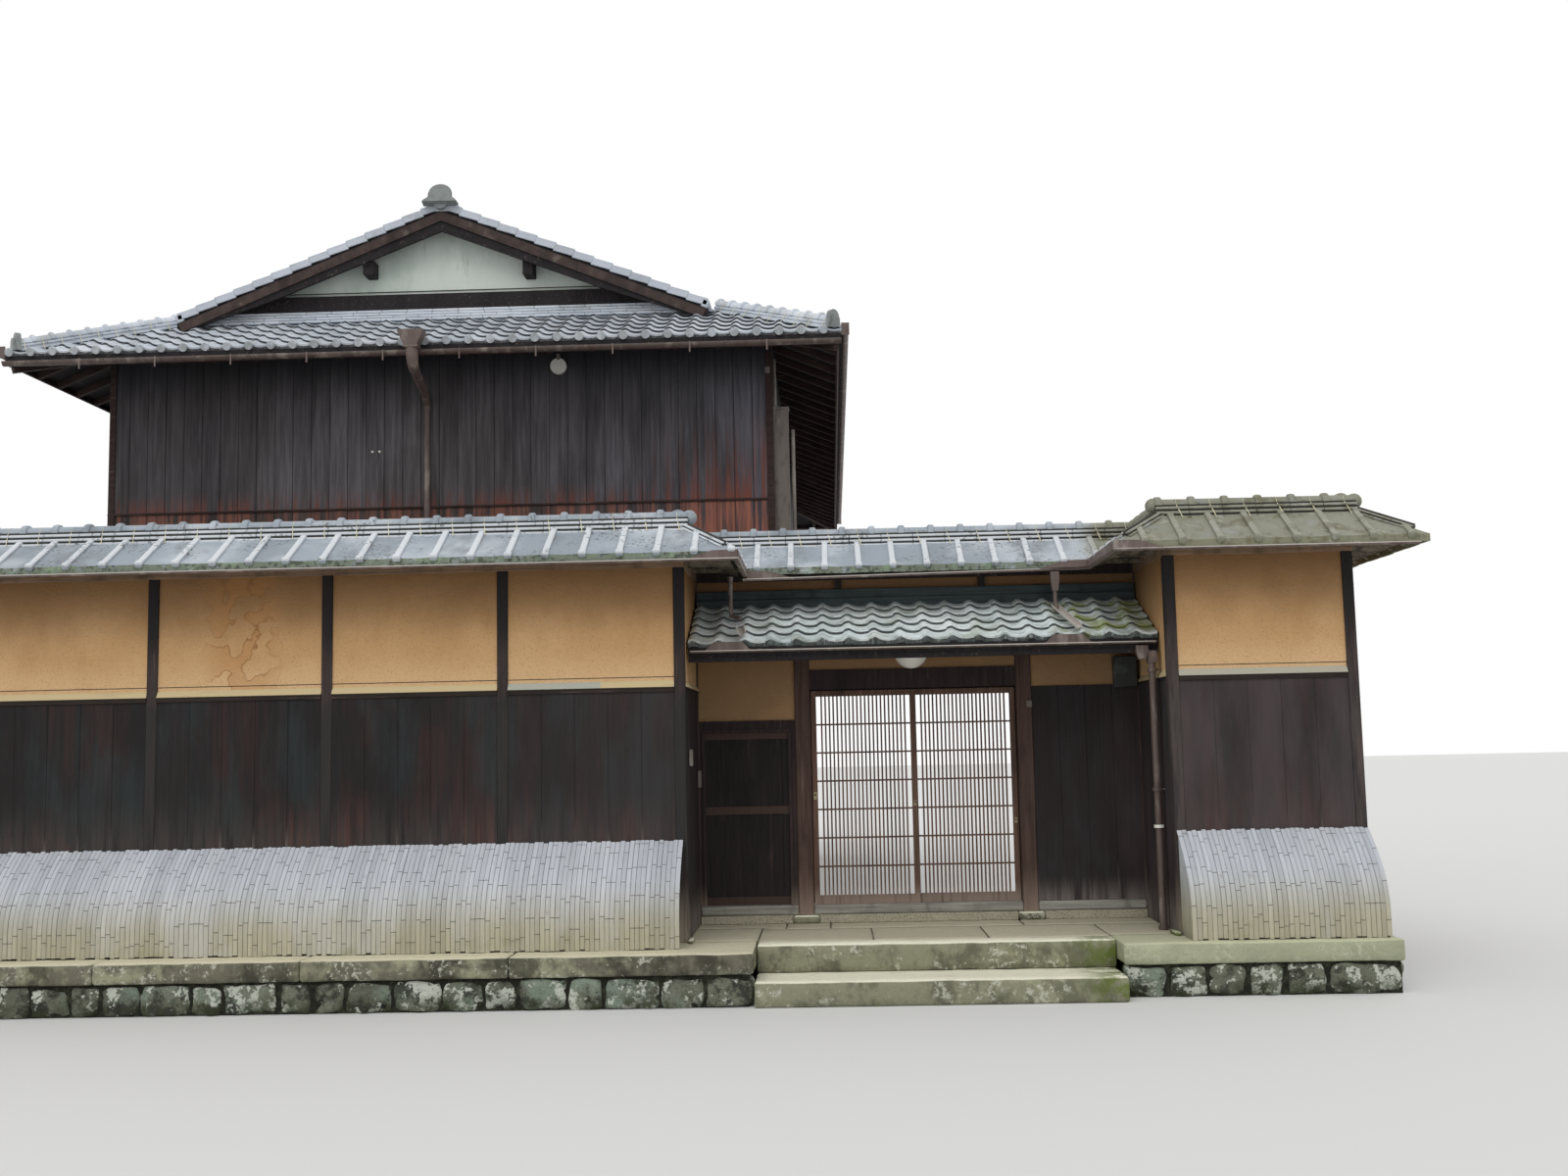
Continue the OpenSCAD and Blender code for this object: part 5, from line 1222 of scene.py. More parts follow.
for x, y, way in ((left_end, wall_mid, -1), (recess_left, wall_mid, 1), (recess_right, wall_mid, -1),
                  (right_end, wall_mid, 1)):
    end_x = x + way * (ridge_over + 0.004)
    spot = Matrix.Translation((end_x, y, ridge_seat_z + 4 * ridge_course))
    knob = bmesh.ops.create_uvsphere(crests, u_segments=14, v_segments=8, radius=ridge_r * 1.12,
                                     matrix=spot)["verts"]
    marked(crests, knob, tone=0.6)
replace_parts(finished("coping_crests", joined(crests, *strips), coping_finish), "coping_ridges")
copper = Finish("copper_ties", (216, 208, 176), 0.5, metallic=0.2)
copper.coat((150, 168, 148), 0.6, copper.patches(40, 0.5, 0.65))
finished("ridge_ties", ties, copper.done())


# Pent roof over the gate: five courses of S-shaped pantiles, each lapped over the one below
# and over its neighbour. Grey-green with lichen, teal and mossy on the eave course's lips.
def pantile(width, length, crest, lip, stamp=0.0, cells=8, thick=0.019):
    """A pantile with its roll at the left, its front edge at y = 0, and a lip if it is an eave tile."""
    shape = blank("lip", "butt")
    made = bmesh.ops.create_grid(shape, x_segments=cells, y_segments=1, size=0.5)["verts"]
    roll = 0.42
    for vert in made:
        u = vert.co.x + 0.5
        wave = (math.sin(math.pi * u / roll) if u < roll
                else -0.42 * math.sin(math.pi * (u - roll) / (1 - roll)))
        vert.co = Vector((vert.co.x * (width + 0.012), (vert.co.y + 0.5) * length,
                          crest * wave + crest * 0.42))
    if lip:
        front = [edge for edge in shape.edges if all(vert.co.y < 0.001 for vert in edge.verts)]
        low = only(bmesh.types.BMVert, bmesh.ops.extrude_edge_only(shape, edges=front)["geom"])
        for vert in low:
            vert.co.z = -lip
        marked(shape, low, lip=1)
    outside = set(shape.verts)
    bmesh.ops.solidify(shape, geom=shape.faces[:], thickness=thick)
    # The points of the underside are tagged for a painted shade.
    inside = [vert for vert in shape.verts if vert not in outside]
    marked(shape, inside, butt=1)
    if stamp:
        disc(shape, (-width * 0.29, -0.012, stamp * 0.1), stamp, stamp * 0.9, 0.022, 14, lip=1)
    return shape


def courses(place, columns, pitch, rows, gauge, tile_shape, seed, step=0.026):
    """Tiles laid in courses up a slope, each course lifted over the one below."""
    places = []
    lean = Matrix.Rotation(-math.asin(step / gauge), 4, "X")
    for row in rows:
        for column in columns:
            jog = Matrix.Translation(((column + 0.5) * pitch + draw.uniform(-0.002, 0.002),
                                      row * gauge + draw.uniform(-0.003, 0.003), step))
            turned = Matrix.Rotation(draw.uniform(-0.008, 0.008), 4, "Z")
            places.append(place @ jog @ turned @ lean)
    return laid(tile_shape, places, seed)


def tile_finish(name, colour, pale, moss, moss_share):
    """Smoked grey tiles, each its own tone, with pale patches, moss in the laps, and painted shade under the
    tiles' front edges.
    """
    fired = Finish(name, colour, 0.5, specular=0.5)
    fired.shade(fired.tag("tone"), 0.82, 1.14)
    fired.coat(pale, 0.7, fired.patches(1.6, 0.2, 0.85))
    fired.coat(moss, moss_share, fired.patches(3.5, 0.52, 0.7))
    fired.coat(moss, 0.5, fired.tag("lip"), fired.patches(9, 0.35, 0.6))
    # Painted shade: the undersides and front edges of the tiles are near black.
    fired.coat((24, 26, 28), 0.92, fired.between(fired.tag("butt"), 0.12, 0.3))
    fired.relief(fired.patches(50, 0.3, 0.7), 0.0012)
    return fired


pent_low, pent_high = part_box("pent_roof")
pent_fall, pent_out = 0.4, 0.95
pent_rise = pent_fall / pent_out
pent_edge_z = pent_high.z - pent_fall
pent_frame = slope_frame((pent_low.x, pent_low.y, pent_edge_z + 0.002), (0, -1), pent_rise)
pent_length = math.hypot(pent_out, pent_fall)
pent_rows, pent_columns = 5, 18
pent_pitch, pent_gauge = (pent_high.x - pent_low.x) / pent_columns, pent_length / pent_rows
crest_h = 0.026
pent_eave = courses(pent_frame, range(pent_columns), pent_pitch, [0], pent_gauge,
                    pantile(pent_pitch, pent_gauge + 0.05, crest_h, 0.075), 3)
pent_field = courses(pent_frame, range(pent_columns), pent_pitch, range(1, pent_rows), pent_gauge,
                     pantile(pent_pitch, pent_gauge + 0.03, crest_h, 0), 4)
pent_tiles = joined(pent_eave, pent_field)
cut(pent_tiles, (0, pent_high.y, 0), (0, 1, 0))
cut(pent_tiles, (pent_low.x, 0, 0), (-1, 0, 0))
cut(pent_tiles, (pent_high.x, 0, 0), (1, 0, 0))
pent_tile = tile_finish("pent_tiles", (206, 218, 220), (248, 252, 248), (134, 144, 104), 0.4)
pent_tile.coat((112, 126, 116), 0.45, pent_tile.patches(8, 0.5, 0.62))
pent_tile.coat((66, 92, 94), 0.65, pent_tile.tag("lip"))
pent_tile.coat((172, 184, 92), 0.7, pent_tile.tag("lip"), pent_tile.patches(30, 0.62, 0.68))
mossy = pent_tile.overlap(pent_tile.rise(1.0, 1.5, (1, 0, 0)), pent_tile.patches(4, 0.45, 0.6))
pent_tile.coat((150, 160, 62), 0.6, mossy)
finished("pent_tiles", pent_tiles, pent_tile.done())
flashing = blank()
flashing_top = 3.41
band = bar(flashing, (pent_low.x, gate_y - 0.035, pent_high.z - 0.05),
           (pent_high.x, gate_y + 0.01, flashing_top), 0.004)
band += bar(flashing, (pent_low.x, gate_y - 0.06, pent_high.z - 0.06),
            (pent_high.x, gate_y, pent_high.z + 0.07), 0.006)
marked(flashing, band, tone=0.3)
dark_board = old_timber("flashing_board", (66, 76, 78), along=(0.05, 1, 1), worn=(92, 100, 100)).done()
finished("pent_flashing", flashing, dark_board)
under_wood = old_timber("soffit_timber", (38, 34, 36), along=(1, 0.05, 1)).done()
dress(under_wood, "pent_roof")


# House walls: two tiers of narrow cedar boards, stained black above and faded to orange-red
# below, lapped at a thin rail where the tiers meet, on a low footing of dressed stone.
house_low, house_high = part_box("house_footing")
house_mid = (house_low.x + house_high.x) / 2
footing_top = house_high.z
board_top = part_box("house_wall_left")[1].z - 0.08
tier_z = 4.74
narrow_board = 0.21
upper_tier, lower_tier = blank("across"), blank("across")
tier_rails = blank()
for start, along, length in (((house_low.x, house_low.y), (1, 0), house_high.x - house_low.x),
                             ((house_high.x, house_low.y), (0, 1), house_high.y - house_low.y),
                             ((house_high.x, house_high.y), (-1, 0), house_high.x - house_low.x),
                             ((house_low.x, house_high.y), (0, -1), house_high.y - house_low.y)):
    planks(upper_tier, start, along, length, tier_z, board_top, narrow_board, draw, 0.016, 0.002)
    planks(lower_tier, start, along, length, footing_top + 0.02, tier_z + 0.004, narrow_board, draw, 0.010,
           0.002)
    place = wall_frame(start, along)
    bar(tier_rails, (-0.02, -0.03, tier_z - 0.012), (length + 0.02, 0, tier_z + 0.012), 0.004, place,
        tone=0.3)
    for x in (-0.02, length - 0.05):
        bar(tier_rails, (x, -0.028, footing_top), (x + 0.07, 0, board_top), 0.006, place, tone=0.2)


def house_boards(name, colour, warm, foot, reach):
    """Boards bleached grey by the sun, black close under the eave from stain and painted shade, and red where
    the stain has gone.
    """
    wood = Finish(name, colour, 0.8)
    wood.shade(wood.tag("tone"), 0.86, 1.14)
    wood.coat((78, 82, 98), 0.35, wood.rise(house_mid, house_high.x, (1, 0, 0)))
    wood.coat([c * 0.62 for c in colour], 0.5, wood.rise(-house_mid, -house_low.x, (-1, 0, 0)))
    wood.coat((50, 47, 44), 0.5, wood.patches(0.9, 0.36, 0.7, (1, 1, 0.6)))
    wood.coat((38, 36, 38), 0.5, wood.patches(4, 0.42, 0.7, (1, 1, 0.12)))
    grain = wood.patches(26, 0.28, 0.72, (1, 1, 0.05))
    wood.shade(grain, 0.8, 1.2)
    near_line = wood.falls(*foot)
    streaks = wood.patches(13, 0.40, 0.62, (1, 1, 0.06))
    wood.coat(warm, 0.85, near_line, streaks)
    by_edge = wood.overlap(wood.rise(house_high.x - 1.8, house_high.x, (1, 0, 0)),
                           wood.falls(tier_z + 0.1, tier_z + 1.1))
    wood.coat(warm, 0.8, by_edge, streaks)
    # Lower down, out of the roof's run-off, the red is only a breath of colour in brown boards
    sheltered = wood.falls(*reach)
    wood.coat((76, 66, 60), 0.9, sheltered)
    wood.coat((60, 50, 46), 0.5, sheltered, wood.patches(9, 0.35, 0.7, (1, 1, 0.12)))
    wood.coat(warm, 0.16, sheltered, wood.patches(16, 0.4, 0.75, (1, 1, 0.05)))
    wood.shade(grain, 0.88, 1.12)
    wood.coat((120, 108, 96), 0.4, wood.falls(footing_top, footing_top + 0.5))
    # Painted shade with stain: the boards go black towards their top, under the eave.
    wood.coat((26, 26, 32), 0.85, wood.rise(board_top - 0.75, board_top - 0.1))
    wood.coat((30, 28, 30), 0.6, wood.seams(0.45, 0.5))
    wood.coat((26, 24, 24), 0.4, wood.patches(10, 0.6, 0.75, (1, 1, 0.08)))
    wood.relief(grain, 0.002)
    return wood.done()


house_wood = house_boards("house_boards", (94, 90, 94), (118, 64, 50), (tier_z - 0.1, tier_z + 0.28),
                          (0.0, 0.1))
faded_wood = house_boards("faded_house_boards", (74, 64, 62), (156, 98, 80), (tier_z - 0.9, tier_z + 0.9),
                          (tier_z - 1.5, tier_z - 0.5))
finished("house_boards_upper", upper_tier, house_wood)
finished("house_boards_lower", lower_tier, faded_wood)
finished("house_tier_rails", tier_rails, beam_timber)
dress(house_wood, "house_wall_front", "house_wall_back", "house_wall_left", "house_wall_right")
footing_stone = slab_stone("house_footing", (150, 146, 130), (104, 102, 86))
dress(footing_stone.done(), "house_footing")


# Eaves: rafters run out under thin sheathing on all four sides, with a fascia along their ends.
eave_low, eave_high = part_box("roof_left")[0].copy(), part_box("roof_right")[1].copy()
eave_z = 6.375
roof_t = 0.07
side_rise, front_rise = 0.41, 0.48
hip_run = 1.49
hip_depth = hip_run * side_rise / front_rise
apex_z = eave_z + side_rise * (eave_high.x - house_mid)
verge_in = 0.95
verge_front, verge_back = eave_low.y + verge_in, eave_high.y - verge_in
corners = {(sx, sy): Vector((house_mid + sx * (eave_high.x - house_mid),
                             eave_low.y if sy < 0 else eave_high.y, 0))
           for sx in (-1, 1) for sy in (-1, 1)}
rafters = blank()
rafter_gap = 0.455
slopes = (((0, -1), (eave_low.x, eave_low.y), front_rise, eave_high.x - eave_low.x, 0.85),
          ((1, 0), (eave_high.x, eave_low.y), side_rise, eave_high.y - eave_low.y, 0.80),
          ((0, 1), (eave_high.x, eave_high.y), front_rise, eave_high.x - eave_low.x, 0.85),
          ((-1, 0), (eave_low.x, eave_high.y), side_rise, eave_high.y - eave_low.y, 0.80))
for outward, corner, rise_per_run, length, overhang in slopes:
    place = slope_frame((*corner, eave_z - roof_t - 0.002), outward, rise_per_run)
    for number in range(1, int(length / rafter_gap)):
        x = number * rafter_gap
        inward = min(overhang, x - 0.06, length - x - 0.06)
        bar(rafters, (x - 0.026, 0.05, -0.07), (x + 0.026, inward + 0.05, 0), 0, place, tone=draw.random())
    bar(rafters, (0.02, 0.022, -0.055), (length - 0.02, 0.046, 0), 0.003, place, tone=0.5)
for (sx, sy), corner in corners.items():
    inner = Vector((corner.x - sx * 0.9, corner.y - sy * 0.88, eave_z - roof_t + 0.36 - 0.05))
    outer = Vector((corner.x - sx * 0.05, corner.y - sy * 0.05, eave_z - roof_t - 0.03))
    for hip_place in line_places(inner, outer, 1.4):
        bar(rafters, (-0.7, -0.04, -0.075), (0.7, 0.04, 0.02), 0, hip_place, tone=0.2)
finished("eave_rafters", rafters, beam_timber)
dress(under_wood, "roof_left", "roof_right", "skirt_roof_front", "skirt_roof_back")


# House roof: smoked pantiles in courses, with round stamped ends along the eaves, hips where
# the lower slopes meet, and stepped flap tiles down the verges of the gables.
def hip_cut(shape, sx, sy, keep_side):
    """Cuts tiles along a hip, keeping either the side slope's or the front slope's share."""
    corner = corners[sx, sy]
    away = Vector((-sx * hip_depth, sy * hip_run, 0)) * (1 if keep_side else -1)
    cut(shape, corner, away)


def side_slope(sx):
    """The frame of the slope that looks to one side, from the corner at its left."""
    return slope_frame((*corners[sx, -sx].xy, eave_z + tile_lift), (sx, 0), side_rise)


def house_courses(place, columns, pitch, rows, gauge, seed):
    """Courses of the house's pantiles. The eave course has lips and round stamped ends."""
    front = (eave_lip, disc_r) if rows[0] == 0 else (0, 0)
    return courses(place, columns, pitch, rows, gauge, pantile(pitch, gauge + 0.03, house_crest, *front, 10),
                   seed)


side_length = (eave_high.x - house_mid) * math.hypot(1, side_rise)
side_rows = 21
side_gauge = side_length / side_rows
low_rows = round(hip_run / (eave_high.x - house_mid) * side_rows)
house_depth, house_span = eave_high.y - eave_low.y, eave_high.x - eave_low.x
side_columns, front_columns = 58, 38
side_pitch, front_pitch = house_depth / side_columns, house_span / front_columns
house_crest = 0.030
eave_lip, disc_r = 0.045, 0.050
tile_lift = 0.014
house_fields = {"left": [], "right": [], "skirts": []}
for sx, side in ((1, "right"), (-1, "left")):
    place = side_slope(sx)
    low_field = joined(
        house_courses(place, range(side_columns), side_pitch, [0], side_gauge, 11),
        house_courses(place, range(side_columns), side_pitch, range(1, low_rows), side_gauge, 12))
    hip_cut(low_field, sx, -1, True)
    hip_cut(low_field, sx, 1, True)
    first = int(verge_in / side_pitch)
    high_field = house_courses(place, range(first, side_columns - first), side_pitch,
                               range(low_rows, side_rows), side_gauge, 13)
    cut(high_field, (0, verge_front, 0), (0, -1, 0))
    cut(high_field, (0, verge_back, 0), (0, 1, 0))
    cut(high_field, (house_mid, 0, 0), (-sx, 0, 0))
    house_fields[side] = [low_field, high_field]
front_length = hip_depth * math.hypot(1, front_rise)
front_rows = 6
front_gauge = front_length / front_rows
for sy in (-1, 1):
    corner = corners[sy, sy]
    place = slope_frame((eave_low.x if sy < 0 else eave_high.x, corner.y, eave_z + tile_lift), (0, sy),
                        front_rise)
    field = joined(
        house_courses(place, range(front_columns), front_pitch, [0], front_gauge, 14),
        house_courses(place, range(front_columns), front_pitch, range(1, front_rows), front_gauge, 15))
    hip_cut(field, -1, sy, False)
    hip_cut(field, 1, sy, False)
    house_fields["skirts"].append(field)
house_tile = tile_finish("house_tiles", (178, 186, 196), (232, 236, 242), (128, 132, 124), 0.35).done()
for name, fields in house_fields.items():
    finished("house_tiles_" + name, joined(*fields), house_tile)


# Verges: flap tiles hooked over the ends of the courses, each with a deep edge turned down
# over the bargeboard and its foot lapped over the tile below.
flaps = []
for sx in (1, -1):
    place = side_slope(sx)
    for at in (verge_in, house_depth - verge_in):
        near = at < house_depth / 2
        shape = blank("lip", "butt")
        out, back = (-0.046, 0.10) if near else (0.046, -0.10)
        bar(shape, (at + out, -0.012, -0.046), (at + out * 0.6, side_gauge + 0.004, 0.030), 0.007)
        bar(shape, (at + out, -0.012, 0.018), (at + back, side_gauge + 0.004, 0.040), 0.008)
        lean = Matrix.Rotation(-math.asin(0.018 / side_gauge), 4, "X")
        flaps.append(laid(shape, [place @ Matrix.Translation((0, row * side_gauge, 0.020)) @ lean
                                  for row in range(low_rows, side_rows)], 21))
        # A bed of mortar and cut tile closes the verge's foot against the hip
        foot = blank("lip", "butt")
        bar(foot, (at + out, -0.035, -0.075), (at - out * 6, 0.05, 0.020), 0.012)
        flaps.append(laid(foot, [place @ Matrix.Translation((0, low_rows * side_gauge, 0.020))], 22))
verge_flaps = joined(*flaps)
verge_tile = tile_finish("verge_tiles", (168, 174, 184), (206, 212, 222), (112, 116, 114), 0.35).done()
finished("verge_flaps", verge_flaps, verge_tile)


# Gables: white lime plaster, a dark bargeboard with a thinner board inside it, two short
# brackets and a row of flat tiles that closes the gable's foot.
dress(under_wood, "bargeboards")
lime = Finish("lime_plaster", (206, 214, 206), 0.95)
lime.coat((168, 182, 172), 0.6, lime.patches(2, 0.4, 0.7, (1, 1, 0.4)))
lime.coat((222, 226, 220), 0.4, lime.patches(6, 0.5, 0.7))
lime.coat((120, 122, 112), 0.35, lime.patches(10, 0.6, 0.72, (1, 1, 0.15)))
lime.relief(lime.patches(40, 0.3, 0.7), 0.001)
dress(lime.done(), "gable_walls")
gable_front, gable_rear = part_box("gable_walls")[0].y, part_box("gable_walls")[1].y
barge_low, barge_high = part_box("bargeboards")
gable_trim = blank()
join_z = eave_z + side_rise * hip_run
foot_half = house_span / 2 - hip_run
for face, way in ((gable_front, -1), (gable_rear, 1)):
    for x in (-0.86, 0.98):
        under = apex_z + tile_lift - side_rise * abs(x) - 0.30
        bar(gable_trim, (house_mid + x - 0.06, face + way * 0.22, under - 0.12),
            (house_mid + x + 0.06, face, under + 0.06), 0.008, tone=draw.random())
    y0, y1 = sorted((face + way * 0.07, face))
    outline = [(house_mid + x, y0, join_z + z) for x, z in
               ((0.35 - foot_half, 0.10), (foot_half - 0.35, 0.10), (foot_half - 0.80, 0.29),
                (0.80 - foot_half, 0.29))]
    made = drawn(gable_trim, outline, (0, y1 - y0, 0))
    made += bar(gable_trim, (house_mid - foot_half + 1.0, face + way * 0.012, join_z + 0.335),
                (house_mid + foot_half - 1.0, face, join_z + 0.342), 0)
    marked(gable_trim, made, tone=0.4)
finished("gable_timbers", gable_trim, under_wood)
verge_strips = []
for y, way in ((barge_low.y, -1), (barge_high.y, 1)):
    for sx in (1, -1):
        strips = blank()
        top = Vector((house_mid, y + way * 0.008, apex_z + 0.004))
        foot = Vector((house_mid + sx * foot_half, y + way * 0.008, join_z + 0.004))
        frame_place = slope_frame(foot, (sx, 0), side_rise)
        long = (top - foot).length
        bar(strips, (-0.010, 0, -0.150), (0.010, long, -0.060), 0.003, frame_place, tone=0.5)
        bar(strips, (-0.014, 0, -0.160), (0.014, long, -0.150), 0, frame_place, tone=1)
        cut(strips, (house_mid, 0, 0), (-sx, 0, 0))
        verge_strips.append(strips)
strip_wood = old_timber("verge_boards", (68, 56, 52), along=(0.2, 1, 0.2), worn=(150, 136, 126)).done()
finished("verge_boards", joined(*verge_strips), strip_wood)


# Ridges of the house: four courses on the main ridge and two on each hip, under round tiles.
# A shouldered end tile in three stepped layers stops the main ridge, a plainer one each hip.
main_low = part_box("main_ridge")[0]
main_seat = apex_z - side_rise * 0.14
main_lines = [((house_mid, verge_front - 0.04, main_seat), (house_mid, verge_back + 0.04, main_seat))]
main_crest, main_ties = ridge(main_lines, (0.30, 0.27, 0.25, 0.23), 0.05, 0.075)
hip_lines = []
for (sx, sy), corner in corners.items():
    hip_lines.append([Vector((corner.x - sx * hip_run * (1 - share), corner.y - sy * hip_depth * (1 - share),
                              eave_z + side_rise * hip_run * (1 - share) + 0.02)) for share in (0.06, 0.93)])
hip_crest, hip_ties = ridge(hip_lines, (0.19, 0.16), 0.045, 0.062, 0.28, 0.2)
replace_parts(finished("ridge_tiles", joined(main_crest, hip_crest), house_tile), "main_ridge",
            "hip_ridges")
finished("house_ridge_ties", joined(main_ties, hip_ties), copper.material)


def shouldered(width, height, shrink=1.0):
    """Outline of an end tile: a spreading foot, hollow shoulders and a round head."""
    half, head = width / 2 * shrink, 0.31 * width * shrink
    points = [(-half, 0), (half, 0), (half * 0.92, height * 0.12), (half * 0.66, height * 0.3),
              (head, height * 0.46)]
    points += [(head * math.cos(angle), height * 0.58 + head * math.sin(angle) * height / width)
               for angle in (math.pi * step / 8 for step in range(9))]
    points += [(-head, height * 0.46), (-half * 0.66, height * 0.3), (-half * 0.92, height * 0.12)]
    return points


ends = blank()
for y, way in ((verge_front - 0.045, -1), (verge_back + 0.045, 1)):
    for layer, (shrink, deep) in enumerate(((1.0, 0.05), (0.82, 0.085), (0.6, 0.115))):
        outline = [(house_mid + x, y, main_low.z + 0.06 + (1 - shrink) * 0.05 + z * shrink)
                   for x, z in shouldered(0.40, 0.27)]
        drawn(ends, outline, (0, way * deep, 0), tone=0.3 + 0.2 * layer)
    disc(ends, (house_mid, y + way * 0.01, apex_z + 0.035), 0.085, 0.078, 0.10, 20, way, tone=1)
for (sx, sy), corner in corners.items():
    way = Vector((sx * hip_run, sy * hip_depth, 0)).normalized()
    side = Vector((-way.y, way.x, 0))
    foot = Vector((corner.x - sx * hip_run * 0.07, corner.y - sy * hip_depth * 0.07, eave_z + 0.045))
    for shrink, deep in ((1.0, 0.05), (0.7, 0.08)):
        outline = [foot + side * x * shrink + Vector((0, 0, 0.02 + z * shrink))
                   for x, z in shouldered(0.25, 0.24)]
        drawn(ends, outline, way * deep, tone=0.4)
bmesh.ops.recalc_face_normals(ends, faces=ends.faces)
end_tile = tile_finish("end_tiles", (112, 118, 118), (160, 166, 164), (92, 98, 84), 0.5).done()
finished("ridge_end_tiles", ends, end_tile, crisp=30)
bands = blank()
for face, way in ((gable_front, -1), (gable_rear, 1)):
    for number, (out, height) in enumerate(((0.13, 0.0), (0.115, 0.036), (0.10, 0.072), (0.085, 0.108))):
        half = foot_half + 0.05 - number * 0.1
        for place in line_places((house_mid - half, face + way * out / 2, join_z - 0.03 + height),
                                 (house_mid + half, face + way * out / 2, join_z - 0.03 + height), 0.3):
            bar(bands, (-0.148, -out / 2, 0), (0.148, out / 2, 0.028), 0.004, place, tone=draw.random())
finished("gable_foot_tiles", bands, house_tile)


# Rainwater: half-round gutters and round downpipes of painted steel, gone brown and chalky.
# Plates stand on the gutters' rims at the eaves' corners, where the tiles throw most water.
def loft(shape, rings, **marks):
    """A closed skin through rings of points, with a cap at each end."""
    rows = [[shape.verts.new(point) for point in ring] for ring in rings]
    for row, after in zip(rows, rows[1:]):
        for number in range(len(row)):
            shape.faces.new((row[number - 1], row[number], after[number], after[number - 1]))
    shape.faces.new(rows[0])
    shape.faces.new(rows[-1])
    marked(shape, [vert for row in rows for vert in row], **marks)


def tube(shape, path, radii, sides=14, **marks):
    """A round pipe through points, with its radius at each."""
    path = [Vector(point) for point in path]
    rings, across = [], None
    for number, point in enumerate(path):
        ahead = (path[min(number + 1, len(path) - 1)] - path[max(number - 1, 0)]).normalized()
        across = across or ahead.orthogonal()
        across = (across - ahead * across.dot(ahead)).normalized()
        other = ahead.cross(across)
        turns = [2 * math.pi * step / sides for step in range(sides)]
        rings.append([point + (across * math.cos(turn) + other * math.sin(turn)) * radii[number]
                      for turn in turns])
    loft(shape, rings, **marks)


def swept(points, bend=0.05):
    """The points of a path with its corners rounded."""
    points = [Vector(point) for point in points]
    path = [points[0]]
    for before, corner, after in zip(points, points[1:], points[2:]):
        start = corner + (before - corner).normalized() * bend
        end = corner + (after - corner).normalized() * bend
        path += [start.lerp(corner, t).lerp(corner.lerp(end, t), t) for t in (0, 0.25, 0.5, 0.75, 1)]
    return path + [points[-1]]


def pipe(shape, x, y, start, end, radius, sides=14):
    """A straight upright pipe."""
    tube(shape, [(x, y, start), (x, y, end)], [radius] * 2, sides)


def funnel(shape, x, y, *sections, **marks):
    """A square funnel through sections, each with its height, width and depth."""
    turns = ((-1, -1), (1, -1), (1, 1), (-1, 1))
    rings = [[(x + sx * wide / 2, y + sy * deep / 2, z) for sx, sy in turns] for z, wide, deep in sections]
    loft(shape, rings, **marks)


gutter_paint = Finish("gutter_paint", (100, 86, 81), 0.55, metallic=0.1, specular=0.5)
gutter_paint.shade(gutter_paint.tag("tone"), 0.85, 1.15)
gutter_paint.coat((168, 156, 148), 0.55, gutter_paint.patches(7, 0.5, 0.7, (1, 1, 0.3)))
gutter_paint.coat((74, 60, 54), 0.7, gutter_paint.patches(12, 0.48, 0.68, (1, 1, 0.25)))
gutter_paint.coat((122, 78, 56), 0.45, gutter_paint.patches(30, 0.6, 0.7))
# Pale where the rim tag is set: on the gutters' beads a painted highlight, and on the half pipes over the
# pent roof their paler paint.
gutter_paint.coat((214, 208, 200), 0.75, gutter_paint.tag("rim"))
gutter_paint.relief(gutter_paint.patches(60, 0.3, 0.7), 0.0008)
gutter_steel = gutter_paint.done()
dress(gutter_steel, "street_downpipes", "house_gutters")


def channel(shape, start, end, radius, wall=0.003, **marks):
    """An open half-round gutter between two points on its rim's middle."""
    start, end = Vector(start), Vector(end)
    run = end - start
    side = run.cross(Vector((0, 0, 1))).normalized()
    turns = [math.pi * step / 9 for step in range(10)]
    outer, inner = ([start + side * math.cos(turn) * reach - Vector((0, 0, math.sin(turn) * reach))
                     for turn in turns] for reach in (radius, radius - wall))
    drawn(shape, outer + inner[::-1], run, **marks)
    # The beads along both rims carry a painted highlight.
    for edge in (1, -1):
        bead = [start + side * edge * (radius - 0.001) + side * x + Vector((0, 0, z)) for x, z in
                ((-0.004, -0.003), (0.004, -0.003), (0.004, 0.004), (-0.004, 0.004))]
        drawn(shape, bead, run, rim=1)


rain = blank("rim")
gutter_r = 0.018
rim_out = coping_half + tile_over + 0.012 + gutter_r
mouth_out = rim_out - gutter_r
street_rim_z = eave_edge_z - tile_over * coping_rise - 0.038
gate_fall = 0.035
left_corner, right_corner = recess_left + mouth_out, recess_right - mouth_out
street_y, inner_y = wall_mid - mouth_out, gate_mid - mouth_out
for (x0, y0), (x1, y1), fall in (
        ((left_end - coping_half, street_y), (left_corner + gutter_r, street_y), 0),
        ((left_corner, street_y - gutter_r), (left_corner, inner_y + gutter_r), 0),
        ((left_corner - gutter_r, inner_y), (right_corner + gutter_r, inner_y), gate_fall),
        ((right_corner, inner_y + gutter_r), (right_corner, street_y - gutter_r), 0),
        ((right_corner - gutter_r, street_y), (right_end + coping_half, street_y), 0)):
    channel(rain, (x0, y0, street_rim_z - fall), (x1, y1, street_rim_z), gutter_r, tone=1)
pent_gutter_y, pent_rim_z = pent_low.y - 0.03, pent_edge_z - 0.05
channel(rain, (pent_low.x + 0.02, pent_gutter_y, pent_rim_z), (pent_high.x - 0.02, pent_gutter_y, pent_rim_z),
        gutter_r)
corner_plate, plate_tall = 0.42, 0.072
